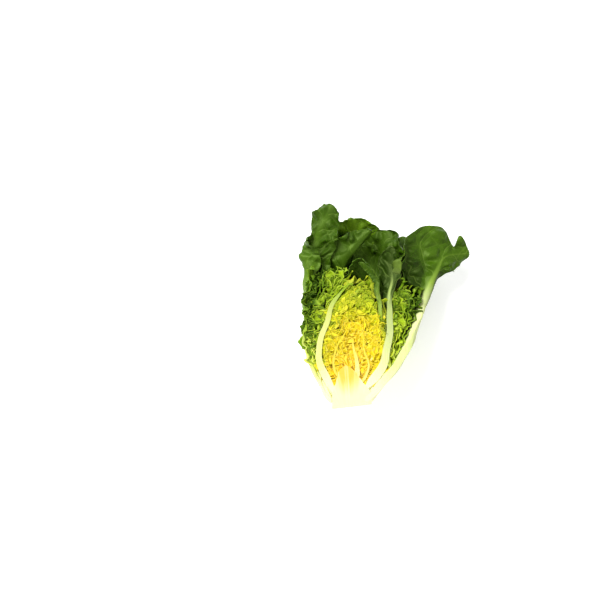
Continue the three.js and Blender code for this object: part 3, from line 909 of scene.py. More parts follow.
LEAF_DEFAULTS = {
    "slot": "outer_leaf", "seed": 0.0, "rows": 110, "columns": 50, "ruffles": [(0.9, 13), (0.5, 6)],
    "root_reach": 13, "quilted_from": (0.3, 0.55), "light": (0.05, 0.8), "light_rise": (0.12, 0.75),
    # shade: a band of painted shade along a leaf, none by default.
    "shade": (0.7, 0.1, 0.0), "rib_light": (0.0, 1.0), "rib_light_rise": (0.25, 0.7), "sway": 1.0,
    "below_cut": 0.0, "past_foot": 0.0, "blade": 0.6, "fold_zone": (0.42, 0.68), "tip": 0.2,
}


def describe(name, *shell, share=SHELL_SHARE, **form):
    """A leaf's description: its place on the shell, if it lies there, and its own form."""
    placed = shell_leaf(*shell, share) if shell else {}
    return {**LEAF_DEFAULTS, "name": name, **placed, **form}


print("a shell leaf's rib, mm:", describe("any", 90, 1, 9, 191, 46)["rib"].round(1)[:2].tolist())

# %% The outer leaves, from the outermost in
OUTER_LEAVES = [
    # The under leaf's light stops at 0.5, so it is painted paler than the other outer leaves: painted
    # light where the higher leaves beside it shade it.
    describe(
        "under_leaf", [89, 89, 89, 90, 95, 103, 108], [1, 1.06, 1.08, 1.07, 1.04, 0.97, 0.86], 9, 192,
        46, share=[0.8, 1.05, 1.15, 1.12, 1.05, 1.05, 1.15], curl=[45, 66, 66, 60, 50, 34, 25],
        tip=0.12, frill=(2.5, 34), rib_size=(9, 6), light=(0.1, 0.5),
    ),
    describe(
        "under_right_leaf", [46, 46, 47, 49, 52, 53], [0.9, 0.87, 0.87, 0.88, 0.93, 0.98], 11, 180, 36,
        share=[0.6, 0.7, 0.95, 1, 1.15, 1.35, 1.25], tip=0.14, frill=(2, 31), rib_size=(8, 5.5),
        seed=1.1,
    ),
    describe(
        "under_left_leaf", [142, 141, 140, 134, 124], [0.92, 0.9, 0.9, 0.9, 0.92], 11, 174, 34,
        frill=(2, 29), rib_size=(8, 5.5), seed=2.7,
    ),
    describe(
        "back_right_leaf", [20, 25, 33, 40, 41, 40], [1, 0.95, 0.96, 1.02, 1.15, 1.4], 8, 174, 17,
        frill=(2, 31), rib_size=(7, 5), seed=0.4,
    ),
    describe(
        "left_outer_leaf", [166, 170, 174, 174], [1, 1.06, 1.09, 1.1], 8, 142, 26, slot="middle_leaf",
        frill=(3.5, 17), ruffles=[(3.2, 12), (1.6, 5.5)], rib_size=(7, 5), light=(0.2, 0.75),
        crumple=RUFFLE_CRUMPLE, crumple_reach=(0.0, 0.8), columns=64,
    ),
    describe(
        "tall_left_leaf",
        rib=[
            (-9, 14, 42), (-23, 34, 38), (-32, 62, 36), (-38, 95, 35), (-42, 128, 33), (-38, 156, 31),
            (-32, 180, 32), (-16, 205, 35),
        ],
        inner=[
            (0.8, 0, 0.6), (0.9, 0, 0.4), (0.9, 0, 0.4), (0.7, 0, 0.7), (0, 0, 1), (-0.2, 0, 1),
            (-0.3, -0.1, 1), (-0.3, -0.1, 1),
        ],
        left=[6, 8, 9, 12, 16, 34, 15, 11], right=[6, 8, 9, 10, 14, 22, 20, 10],
        curl_left=[30, 30, 30, 30, 20, 10, -10, -20], curl_right=[20, 20, 20, 20, 10, 10, 10, 0],
        fold_left=[0, 0, 0, 0, 120, 160, 20, 0], fold_zone=(0.2, 0.42),
        notches_left=[(0.83, 0.035, 0.62), (0.905, 0.012, -0.3)], tip=0.09, frill=(2.0, 33), rows=160,
        columns=64, length=205, rib_size=(7, 5), seed=0.9,
    ),
    describe(
        "front_left_leaf",
        rib=[
            (-4, 17, 37), (-12, 36, 27), (-17, 62, 18), (-17, 92, 17.5), (-14, 122, 23), (-6, 145, 30),
            (7, 163, 35), (20, 179, 36),
        ],
        inner=[(0.5, -0.3, 0.85), (0.5, -0.2, 0.85), (0.5, 0, 0.85), (0.5, 0, 0.9), (0.3, -0.1, 1)],
        left=[6, 9, 12, 15, 25, 27, 20, 11], right=[6, 9, 14, 14, 12, 12, 12, 10],
        curl_left=[30, 30, 30, 32, 25, 20, 10], curl_right=[30, 30, 30, 32, 10, -20, -20],
        fold_left=[0, 0, 0, 0, -25, -40, -30, -20], fold_right=[0, 0, 0, 0, -20, -60, -60, -30],
        fold_zone=(0.08, 0.3), frill=(1.5, 27), length=175, rib_size=(7, 4.5), seed=1.9,
    ),
    describe(
        "back_middle_leaf", 76, [0.84, 0.79, 0.79, 0.79, 0.8], 15, 164, 38, frill=(2, 26),
        rib_size=(7, 4.5), seed=4.4,
    ),
    describe(
        "right_outer_leaf",
        rib=[
            (17, 9, 43), (30.5, 27.5, 46), (45, 45.5, 45.5), (56.5, 65, 45), (64.5, 87, 44),
            (73.5, 108, 42), (83, 130, 38), (95.5, 152, 33), (121, 156, 25),
        ],
        inner=[
            (-1, 0.4, 0.1), (-1, 0.4, 0.1), (-1, 0.4, 0.1), (-1, 0.2, 0.3), (-0.9, 0.1, 0.5),
            (-0.5, 0.1, 0.9), (0, -0.1, 1), (0.1, 0, 1), (0, 0, 1),
        ],
        left=[6, 8, 10, 12, 25, 41, 52, 38, 10], right=[8, 9, 9, 7, 5, 5, 5.5, 17, 7], sway=0.3,
        curl_left=[50, 50, 45, 35, 30, 15, 5, 5], curl_right=[50, 50, 45, -20, -40, -45, -30, -10, 0],
        frill_right=[0, 0, 0, 0, 0, 0.1, 0.6, 1, 1], fold_left=[0, 0, 0, 0, 60, 150, 120, 0, 0],
        fold_zone=(0.74, 0.87), notches_left=[(0.925, 0.014, 0.7)], tip=0.08, rows=180, columns=64,
        ruffles=[(0.4, 17)], frill=(2.0, 38), length=190, rib_size=(8, 6.5),
        rib_thick=[7, 7.5, 8, 8.5, 8, 5.5, 2.4, 1.2, 0.6], rib_wide=[8, 8, 8, 8, 7, 5, 2.6, 0.9, 0.6],
        # shade paints the blade darker round s = 0.7: painted shade where the cupped blade dips into its
        # own shadow.
        shade=(0.7, 0.08, 1.0), light=(0.05, 0.72), rib_light=(0.06, 0.9), rib_light_rise=(0.53, 0.82),
    ),
    describe(
        "right_middle_leaf", 12, [0.84, 0.8, 0.79, 0.82, 0.88], 14, 132, 24, slot="middle_leaf",
        frill=(3, 17), ruffles=[(3.2, 11), (1.6, 5.5)], rib_size=(6, 5), light=(0.2, 0.7),
        crumple=RUFFLE_CRUMPLE, crumple_reach=(0.0, 0.8), columns=64, seed=1.9,
    ),
    describe(
        "hood_leaf", slot="middle_leaf",
        rib=[
            (3, 20, 35), (3, 37, 23), (1, 55, 18), (0, 75, 16.5), (2, 94, 17.5), (5, 112, 23),
            (8, 128, 30), (11, 142, 38), (13, 151, 45),
        ],
        inner=[(0, -0.5, 1), (0, -0.3, 1), (0, 0, 1), (0, 0, 1), (0, 0, 1), (0, 0.3, 1)],
        left=[12, 22, 42, 52, 50, 42, 31, 20, 12], right=[12, 22, 42, 52, 50, 42, 31, 20, 12],
        curl=[40, 50, 78, 90, 90, 90, 90, 90, 80], tip=0.1, frill=(1, 24), length=155, rib_size=(7, 4),
        light=(0.4, 1.3), seed=2.2,
    ),
    describe(
        "left_cut_leaf", slot="middle_leaf",
        rib=[
            (-15, 16, 43), (-26, 36, 49), (-31, 53, 49.5), (-28, 74, 49.5), (-22, 92, 49.5),
            (-15.5, 108, 49.3), (-7, 120, 47), (2, 130, 43),
        ],
        inner=[
            (1, 0, 0), (1, 0, 0), (1, 0, 0), (1, -0.2, 0), (1, -0.4, 0), (0.8, -0.8, 0.1),
            (0.8, -0.8, 0.4),
        ],
        left=[6, 10, 14, 14, 14, 14, 12, 6], right=[6, 10, 28, 46, 48, 42, 30, 18],
        curl=[40, 40, 58, 96, 100, 105, 100, 80], frill=(1, 24), length=150, rib_size=(6.5, 6),
        rib_thick=[8, 7, 5.4, 4.8, 4.4, 3.2, 1.2, 0.4], rib_wide=[5.4, 5, 4.4, 4, 3.6, 2.8, 1.6, 1],
        sway=0.4, light=(0.15, 0.6), rib_light=(0.12, 0.8), rib_light_rise=(0.3, 0.95),
    ),
    describe(
        "right_cut_leaf",
        rib=[
            (13, 20, 43), (25, 36, 49), (34, 54, 49.5), (37, 76, 49.5), (38, 100, 49.5), (40, 122, 46),
            (41, 144, 41), (41, 163, 41),
        ],
        inner=[
            (-1, 0, 0), (-1, 0, 0), (-1, 0, 0), (-1, 0, 0.2), (-0.7, 0, 0.7), (-0.4, 0, 1),
            (-0.3, 0, 1),
        ],
        left=[6, 9, 14, 14, 6, 8, 14, 11], right=[6, 9, 14, 16, 12, 10, 8, 6],
        curl=[40, 35, 35, 35, 35, 35, 30], frill=(1.2, 26), length=155, rib_size=(6.5, 6),
        rib_thick=[9, 8.4, 7.2, 6, 5, 1.6, 0.3, 0.2], sway=0.4,
        rib_wide=[5.4, 4.8, 4.2, 3.6, 2.8, 1.7, 1.0, 0.7], rib_light=(0.0, 0.55),
        rib_light_rise=(0.12, 0.75), light=(0.1, 1.2), seed=0.8,
    ),
]
print(len(OUTER_LEAVES), "outer leaves")

# %% [markdown]
# ## The ruffles on either side of the heart
#
# Between the two split ribs and the open leaves outside lies a band of ruffled margins. They
# belong to leaves that curve up from below and end at the knife plane, so that one looks down
# on their edges. Each is a short sector of a shell. The innermost are nearly as pale as the
# heart, and they get greener outwards.


# %% Ruffled leaves, packed side by side
SUNK = 1.2  # mm below the cut, where leaves end that folds will cover


def ruffled_leaf(name, turn, girth, root, top, spread, light, seed):
    return describe(
        name, turn, girth, root, top, spread, slot="middle_leaf", frill=(1.6, 19),
        ruffles=[(2.2, 9.5), (1.3, 5.5)], rib_size=(4, 2), light=light, light_rise=(0.1, 0.9),
        below_cut=SUNK, crumple=RUFFLE_CRUMPLE, crumple_reach=(0.0, 1.0), rows=90, columns=36,
        seed=seed,
    )


RIGHT_RUFFLES = [
    (12, [0.73, 0.73, 0.71, 0.73, 0.77], 108, 14, (0.1, 0.3)),
    (15, [0.76, 0.75, 0.74, 0.77, 0.84], 121, 15, (0.12, 0.36)),
    (10, [0.86, 0.84, 0.85, 0.89, 0.98], 123, 15, (0.15, 0.45)),
    (16, [0.92, 0.9, 0.93, 0.98, 1.1], 124, 16, (0.18, 0.55)),
    (12, [0.98, 0.96, 1.0, 1.07, 1.22], 122, 15, (0.2, 0.65)),
    (18, [1.02, 1.0, 1.06, 1.16, 1.36], 124, 16, (0.25, 0.75)),
]
LEFT_RUFFLES = [
    (167, [0.92, 0.9, 0.88, 0.8, 0.66, 0.47, 0.2], 139, 14, (0.12, 0.36)),
    (164, [0.94, 0.94, 0.93, 0.9, 0.78, 0.6, 0.36], 141, 15, (0.15, 0.5)),
    (170, [0.96, 0.96, 0.96, 0.98, 0.88, 0.72, 0.5], 142, 15, (0.18, 0.62)),
    (163, [0.98, 0.99, 0.99, 1.0, 0.95, 0.83, 0.66], 140, 16, (0.2, 0.72)),
    (169, [1.0, 1.0, 1.02, 1.04, 1.02, 0.94, 0.8], 138, 15, (0.25, 0.8)),
    (165, [1.0, 1.01, 1.03, 1.06, 1.06, 1.02, 0.92], 136, 16, (0.3, 0.85)),
]
RUFFLED = [
    ruffled_leaf(f"{side}_ruffle_{k + 1}", turn, girth, 12, top, spread, light, 0.3 + 1.4 * k)
    for side, row in (("right", RIGHT_RUFFLES), ("left", LEFT_RUFFLES))
    for k, (turn, girth, top, spread, light) in enumerate(row)
]
print(len(RUFFLED), "ruffled leaves")

# %% [markdown]
# ## The heart
#
# The heart's leaves grow in a spiral: each is turned from the last by the golden angle, about
# 137.5 degrees, so that no leaf hides the one before it. They get smaller and yellower
# towards the middle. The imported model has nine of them; between each two, one more is added
# here, and a few more wrap them all, since a real heart is packed full.

# %% The heart's leaves, by the golden angle
HEART_RADIUS = [13, 21, 28, 31, 31.5, 31, 27, 20, 9]
HEART_SHARE = [0.5, 0.7, 0.9, 1, 1, 1, 1, 1, 1]
HEART_TOP = 146  # mm, where a leaf of girth 1 would end
HEART_BUD = 60  # mm, where a leaf of no girth would end
HEART_ROOT = (48, -22)  # mm, where it would start, and how that falls with its girth
HEART_RISE = 0.8
HEART_RIB = (7, 2.8)
HEART_SPREAD = 88
HEART_LEAVES = 9
HEART_GIRTH = 0.76
GIRTH_STEP = 0.075
SEED_STEP = 1.7
GOLDEN_ANGLE = 137.5
FIRST_TURN = 110
KEPT_TURNS = (-20, 195)  # degrees, the turns that lie below the knife


def heart_leaf(name, turn, girth, seed, form=HEART_RADIUS, highest=HEART_TOP):
    radius = np.array(form) * girth
    share = np.array(HEART_SHARE)
    root = HEART_ROOT[0] + HEART_ROOT[1] * girth
    top = HEART_BUD + (highest - HEART_BUD) * girth**HEART_RISE
    y = np.linspace(root, top, len(radius))
    half = radius * np.radians(HEART_SPREAD) * share
    return describe(
        name, slot="heart_leaf", rib=round_axis(y, radius, turn),
        inner=[inward_at(turn), inward_at(turn)], left=half, right=half, curl=share * HEART_SPREAD,
        length=top - root, rib_size=(HEART_RIB[0] * girth, HEART_RIB[1] * girth), tip=0.3,
        frill=(1, 15), ruffles=[(1.4, 9), (0.8, 5)], quilted_from=(0.9, 1.0), below_cut=SUNK,
        light=(girth * 0.35, girth * 1.25), crumple=HEART_CRUMPLE, crumple_reach=(0.25, 1.0),
        blade=0.55, rows=56, columns=48, seed=seed,
    )


def heart_leaves():
    """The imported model's heart leaves, and one more between each two."""
    first, last = KEPT_TURNS
    turns = []
    k = 0
    while len(turns) < 2 * HEART_LEAVES:
        turn = (FIRST_TURN + k * GOLDEN_ANGLE) % 360 + first
        if turn <= last:
            turns.append(turn)
        k += 1
    leaves = []
    for k in range(HEART_LEAVES):
        girth = HEART_GIRTH - GIRTH_STEP * k
        leaves.append(heart_leaf(f"heart_leaf_{k + 1}", turns[k], girth, SEED_STEP * k))
        turn, girth = turns[k + HEART_LEAVES], girth - GIRTH_STEP / 2
        leaves.append(heart_leaf(f"heart_between_{k + 1}", turn, girth, SEED_STEP * k + 0.9))
    return leaves


HEART = heart_leaves()


# %% Heart leaves whose ribs the knife split
def split_heart_leaf(name, rib, inner, thick, under, rib_light, seed):
    """A heart leaf whose rib lies in the knife plane; `under` is its half width below it."""
    above = [4, 5, 6, 6, 5]
    left, right = (above, under) if inner[0] > 0 else (under, above)
    steps = np.diff(np.array(rib), axis=0)
    return describe(
        name, slot="heart_leaf", rib=rib, inner=[inner, inner], left=left, right=right,
        curl=[30, 50, 70, 80, 80], length=float(np.linalg.norm(steps, axis=1).sum()), rib_size=(3, 2),
        rib_thick=thick, tip=0.3, frill=(1, 13), ruffles=[(1.0, 8), (0.5, 5)], quilted_from=(0.9, 1.0),
        light=(0.0, 0.3), rib_light=rib_light, past_foot=0.3, crumple=HEART_CRUMPLE,
        crumple_reach=(0.0, 0.5), sway=0.3, rows=64, columns=24, seed=seed,
    )


SPLIT_HEART = [
    split_heart_leaf(
        "left_split_rib",
        [(-8, 26, 44), (-16, 38, 49.6), (-17, 50, 49.6), (-13, 63, 49.6), (-7, 74, 48.5), (-3, 84, 46)],
        (1, 0, 0), [1.8, 1.6, 1.3, 0.8, 0.4], [4, 5, 5, 5, 4], (0.7, 1.0), 0.7,
    ),
    split_heart_leaf(
        "right_split_rib",
        [(9, 24, 44), (15, 34, 49.6), (17, 44, 49.6), (14, 57, 49.6), (13, 68, 48.5), (13, 80, 46)],
        (-1, 0, 0), [2.1, 1.8, 1.4, 0.9, 0.4], [4, 5, 5, 5, 4], (0.3, 0.7), 2.1,
    ),
    split_heart_leaf(
        "middle_split_rib",
        [(3, 24, 44), (5.2, 36, 49.7), (4.8, 48, 49.7), (3, 60, 49.3), (2, 72, 47)],
        (-1, 0, 0), [5, 4.6, 3.4, 1.6, 0.4], [3, 5, 7, 7, 5], (0.0, 0.4), 3.3,
    ),
]
# The outermost heart leaves fill the space up to the hood.
WRAPPER_TOP = 137
WRAPPER_RADIUS = [17, 29, 33, 33, 32.5, 31, 27, 20, 9]
WRAPPER_PLACES = [
    (62, 0.95), (150, 0.93), (110, 0.9), (20, 0.88), (84, 0.85), (165, 0.83), (45, 0.8), (128, 0.78),
]
WRAPPERS = [
    heart_leaf(f"heart_wrapper_{k + 1}", *place, 5.1 + 1.3 * k, WRAPPER_RADIUS, WRAPPER_TOP)
    for k, place in enumerate(WRAPPER_PLACES)
]
# The hood's right margin stands along the heart's right side.
HOOD_MARGIN = describe(
    "hood_margin", slot="middle_leaf",
    rib=[
        (30, 90, 46.5), (29.8, 98, 48.5), (29.3, 107, 49), (27.5, 117, 49), (24, 128, 48.5),
        (18, 138, 47), (10, 147, 44),
    ],
    inner=[(-0.6, 0, 0.8), (-0.6, 0, 0.8), (-0.6, -0.2, 0.8), (-0.4, -0.4, 0.8)],
    left=[1.5, 2, 2.5, 3.2, 4, 5, 5], right=[1.5, 2, 2, 2.4, 3, 4, 5], curl_left=[30], curl_right=[-30],
    length=66, rib_size=(2, 0.3), frill=(0.6, 19), ruffles=[(0.7, 8), (0.4, 4)],
    quilted_from=(0.9, 1.0), light=(0.55, 1.0), light_rise=(0.0, 0.7), past_foot=0.5, root_reach=2,
    rows=90, columns=20, seed=2.4, uncut=True,
)
HEART = WRAPPERS + HEART + SPLIT_HEART + [HOOD_MARGIN]
print(len(HEART), "heart leaves")

# %% [markdown]
# ## Making the leaves
#
# Each leaf goes through the same steps: mesh, quilting, knife. Then it is given the name of
# its node with a word added, it rides on the part's one body, and it takes the node's place.

# %% From a leaf's description to a finished piece
QUILT_HEIGHT = {"outer_leaf": 0.0038, "middle_leaf": 0.0012, "heart_leaf": 0.0012}


def lay_on_table(mesh):
    """Presses what hangs under the table's height flat on it."""
    places = np.empty(3 * len(mesh.vertices), np.float32)
    mesh.vertices.foreach_get("co", places)
    places[2::3] = np.maximum(places[2::3], 0)
    mesh.vertices.foreach_set("co", places)


def grow(leaf, order):
    name, slot = leaf["name"], leaf["slot"]
    quilt = {"Quilt_Height": QUILT_HEIGHT[slot], "Material": FINISH[slot]}
    mesh = with_tree(leaf_mesh(leaf), QUILTED_BLADE, name, **quilt)
    lay_on_table(mesh)
    if not leaf.get("uncut"):
        knife(mesh, lower=leaf["below_cut"] + KNIFE_STEP * order)
    made = put(name + "_fine", mesh)
    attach(made, "root")
    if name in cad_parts:
        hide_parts(leaf["name"])
    return made


grown = [grow(leaf, order) for order, leaf in enumerate(OUTER_LEAVES + RUFFLED + HEART)]


# %% [markdown]
# ## The crumpled folds that the cut lays bare
#
# Seen from above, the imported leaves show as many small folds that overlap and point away
# from the growing point. Each fold could be modelled by hand, but a rule is quicker and never
# tires: Geometry Nodes scatter one cupped fold over a bed just under the cut, turn each away
# from the bud, and then crumple every one in its own way with noise.

# %% The tree that scatters and crumples folds
FOLD_SEGMENTS = 24
FOLD_RINGS = 18
FOLD_THICK = 0.0007
FRILL_COUNT = 7.0  # waves round one fold's rim


def keep(shape, name, kind, value, domain="POINT"):
    inputs = {"Geometry": shape, "Name": name, "Value": value}
    return add("GeometryNodeStoreNamedAttribute", inputs, data_type=kind, domain=domain)


def random_value(low, high, seed):
    inputs = {2: low, 3: high, "Seed": seed}
    return add("FunctionNodeRandomValue", inputs, 1, data_type="FLOAT")


def one_fold(tree, length, width, cup, frill_height):
    """A small leaf as a closed, flattened and cupped ball with a waved rim, root at the origin,
    tip to +Y."""
    size = {"Segments": FOLD_SEGMENTS, "Rings": FOLD_RINGS, "Radius": 1.0}
    fold = add("GeometryNodeMeshUVSphere", size, tree=tree)
    x, y, z = split(add("GeometryNodeInputPosition", tree=tree))
    flat = calc("SQRT", x * x + z * z)
    # The fold's reach goes into zone, so its finish paints light along the fold's rim as along a leaf's
    # margin.
    fold = keep(fold, "zone", "FLOAT_COLOR", join(0.0, flat, 0.6))
    across = x * width * 0.5 * ease(z, -1.0, 0.6, 0.6, 1.2)
    along = (z + 0.6) * (length * 0.5)
    waves = calc("SINE", calc("ARCTAN2", x, z) * FRILL_COUNT)
    waved = waves * frill_height * calc("POWER", flat, 3.0)
    dish = x * x * cup + z * z * (cup * 0.6) + waved
    fold = move(fold, join(across, along, y * (-FOLD_THICK / 2) + dish), "Position")
    for name in ("blade", "net"):
        fold = keep(fold, name, "FLOAT_VECTOR", join(across, along, 0.0))
    return fold


def fold_tree():
    sizes = {
        "Spacing": 0.004, "Fold Length": 0.018, "Fold Width": 0.013, "Cup": 0.003, "Frill Height": 0.0012,
        "Least Tilt": 0.2, "Most Tilt": 0.9, "Roll": 0.8, "Stray": 0.6, "Bud": "Vector", "Crumple": 0.003,
        "Crumple Scale": 170.0, "Seed": 1,
    }
    tree, given, result = shape_group("crumpled folds", sizes)
    seeds = [given["Seed"] + k for k in range(1, 6)]
    scattered = {
        "Mesh": given["Geometry"], "Distance Min": given["Spacing"], "Density Max": 200000,
        "Seed": given["Seed"],
    }
    points = add("GeometryNodeDistributePointsOnFaces", scattered, distribute_method="POISSON")
    here = add("GeometryNodeInputPosition", tree=tree)
    away = split(vector_calc("SUBTRACT", here, given["Bud"]))
    stray = random_value(-1.0, 1.0, seeds[0]) * given["Stray"]
    heading = calc("ARCTAN2", away[1], away[0]) - math.pi / 2 + stray
    tilt = random_value(given["Least Tilt"], given["Most Tilt"], seeds[1])
    roll = random_value(-1.0, 1.0, seeds[2]) * given["Roll"]
    size = random_value(0.7, 1.3, seeds[3])
    form = [given[name] for name in ("Fold Length", "Fold Width", "Cup", "Frill Height")]
    folds = add("GeometryNodeInstanceOnPoints", {
        "Points": points,
        "Instance": one_fold(tree, *form),
        "Rotation": join(tilt, roll, heading),
        "Scale": join(size, size, 1.0),
    })
    who = random_value(0.0, 60.0, seeds[4])
    folds = keep(folds, "who", "FLOAT", who, "INSTANCE")
    real = add("GeometryNodeRealizeInstances", {0: folds})
    waves = {"Scale": given["Crumple Scale"], "W": named(tree, "who"), "Detail": 1.5}
    wrinkle = add("ShaderNodeTexNoise", waves, "Color", noise_dimensions="4D")
    push = vector_calc("SUBTRACT", wrinkle, (0.5, 0.5, 0.5))
    finish_shape(move(real, scaled(push, given["Crumple"])), given, result)
    return tree


CRUMPLED_FOLDS = fold_tree()

# %% The beds that carry the folds
BED_CELL = 3.0  # mm
FOLDS_SUNK = 0.8  # mm below the cut, so that the split ribs lie bare above the folds


def inside(outline, x, y):
    """Which points lie inside a closed outline, by counting the edges to their right."""
    crossed = np.zeros(x.shape, int)
    for (x0, y0), (x1, y1) in zip(outline, outline[1:] + outline[:1]):
        spans = (y0 > y) != (y1 > y)
        at = x0 + (x1 - x0) * (y - y0) / (y1 - y0 if y1 != y0 else 1)
        crossed += spans & (x < at)
    return crossed % 2 == 1


def bed(outline, depth, light_at):
    """A flat patch of small squares under the cut, with the light of each corner."""
    low, high = np.min(outline, axis=0), np.max(outline, axis=0)
    x, y = np.meshgrid(*(np.arange(low[k], high[k] + BED_CELL, BED_CELL) for k in (0, 1)))
    index = np.arange(x.size).reshape(x.shape)
    kept = inside(outline, x[:-1, :-1] + BED_CELL / 2, y[:-1, :-1] + BED_CELL / 2)
    corners = np.stack([index[:-1, :-1], index[:-1, 1:], index[1:, 1:], index[1:, :-1]], -1)[kept]
    points = to_part(np.stack([x.ravel(), y.ravel(), np.full(x.size, CUT_HEIGHT - depth)], -1))
    mesh = bpy.data.meshes.new("bed")
    mesh.from_pydata(points.tolist(), [], corners.tolist())
    for name in ("light", "rib_light"):
        put_attribute(mesh, name, "FLOAT", light_at(x.ravel(), y.ravel()))
    return mesh


def heart_light(x, y):
    """The heart grows greener upwards, to both sides, and quickly in its upper half."""
    up = (y - 40) / 90
    aside = (x - AXIS_LEAN * y) / 28
    return 0.05 + 0.4 * up + 0.4 * aside**2 + 2.2 * np.maximum(up - 0.48, 0)


def cap_light(x, y):
    return 0.6 + 0.5 * smoothstep(y, 96, 120)


def ruffle_light(x, y):
    """The ruffles grow greener outwards, and a little towards the tips."""
    aside = np.abs(x - AXIS_LEAN * y)
    outward = np.where(x < 0, smoothstep(aside, 30, 50), 0.9 * smoothstep(aside, 31, 58))
    return 0.18 + 0.85 * outward + 0.3 * smoothstep(y, 75, 125)


HEART_BED = [
    (-25, 40), (-26, 48), (-27, 58), (-22, 75), (-17, 87), (-12, 99), (-7, 107), (2, 114), (8, 118),
    (13, 117), (17, 113), (21, 106), (24, 97), (27, 85), (29, 66), (30, 50), (27, 39), (22, 29), (16, 24),
    (-12, 27), (-19, 32),
]
CAP_BED = [
    (-18, 97), (-13, 107), (-8, 114), (-2, 119), (2, 119), (0, 113), (-6, 105), (-11, 97), (-15, 91),
]
LEFT_BED = [
    (-30, 42), (-35, 50), (-35, 58), (-32, 72), (-28, 84), (-22, 99), (-16, 113), (-8, 122), (-4, 129),
    (-12, 134), (-24, 131), (-34, 133), (-40, 125), (-41, 110), (-40, 90), (-39, 70), (-38, 56),
    (-35, 46),
]
RIGHT_BED = [
    (31, 35), (35, 42), (40, 52), (42, 66), (42, 87), (44, 108), (47, 117), (55, 119), (60, 115),
    (62, 108), (58, 98), (54, 90), (50, 82), (48, 71), (45, 60), (41, 49),
]


def folds(name, slot, outline, depth, light_at, bud=(3, 30), **sizes):
    """The folds on one bed, turned away from the bud, as one piece."""
    bud = tuple(to_part([*bud, CUT_HEIGHT]))
    start = bed(outline, depth, light_at)
    mesh = with_tree(start, CRUMPLED_FOLDS, name, Bud=bud, Material=FINISH[slot], **sizes)
    mesh.materials.clear()
    mesh.materials.append(FINISH[slot])
    mesh.polygons.foreach_set("material_index", np.zeros(len(mesh.polygons), np.int32))
    mesh.shade_smooth()
    knife(mesh, lower=FOLDS_SUNK)
    made = put(name, mesh)
    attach(made, "root")
    print(name, len(mesh.polygons), "faces")
    return made


# %% The folds of the heart and of the ruffles beside it
HEART_FOLDS = {
    "Spacing": 0.0042, "Fold_Length": 0.017, "Fold_Width": 0.013, "Cup": 0.003, "Least_Tilt": 0.1,
    "Most_Tilt": 0.8, "Roll": 0.8, "Stray": 0.7, "Crumple": 0.0055, "Crumple_Scale": 190.0, "Seed": 3,
}
CAP_FOLDS = {
    "Spacing": 0.0044, "Fold_Length": 0.027, "Fold_Width": 0.011, "Cup": 0.0022, "Least_Tilt": 0.05,
    "Most_Tilt": 0.35, "Roll": 0.7, "Stray": 0.35, "Crumple": 0.0042, "Crumple_Scale": 150.0, "Seed": 29,
}
RUFFLE_FOLDS = {
    "Spacing": 0.0048, "Fold_Length": 0.016, "Fold_Width": 0.014, "Cup": 0.004, "Least_Tilt": 0.2,
    "Most_Tilt": 1.2, "Roll": 1.0, "Stray": 1.2, "Crumple": 0.007, "Crumple_Scale": 170.0,
}
grown += [
    folds("heart_folds", "heart_leaf", HEART_BED, 4.0, heart_light, **HEART_FOLDS),
    folds("cap_folds", "heart_leaf", CAP_BED, 3.4, cap_light, bud=(-30, 88), **CAP_FOLDS),
    folds("left_folds", "middle_leaf", LEFT_BED, 5.0, ruffle_light, Seed=11, **RUFFLE_FOLDS),
    folds("right_folds", "middle_leaf", RIGHT_BED, 5.0, ruffle_light, Seed=17, **RUFFLE_FOLDS),
]
triangles = sum(sum(len(p.vertices) - 2 for p in o.data.polygons) for o in grown)
print(len(grown), "leaves,", triangles, "triangles")

# %% [markdown]
# ## The core
#
# The core is a short stem: a cone that is widest where it was trimmed. A profile turned round
# the head's axis makes it, and the same knife trims it.

# %% The core's profile, turned round the axis
CORE_RADIUS = [19.5, 19.8, 20, 19.6, 17.8, 14.6, 11.8, 9.4, 6.2]  # mm, one for each 5 mm of length
CORE_STEP = 5
CORE_TIP = 44
CORE_SUNK = 0.15  # mm below the cut, so that the leaves' feet run on over the core
CORE_LEAN = 8.5  # mm, how far its growing point stands to the left of the axis
CORE_SIDES = 96
CORE_RINGS = 60
BUTT_SLOPE = 0.13
BUTT_START = 2
CORE_FLUTES = ((0.02, 5, 6), (0.012, 13, 4))  # height, count, and mm of length to their twist
CORE_KNOTS = 0.04
KNOTS_START = (18, 34)  # mm


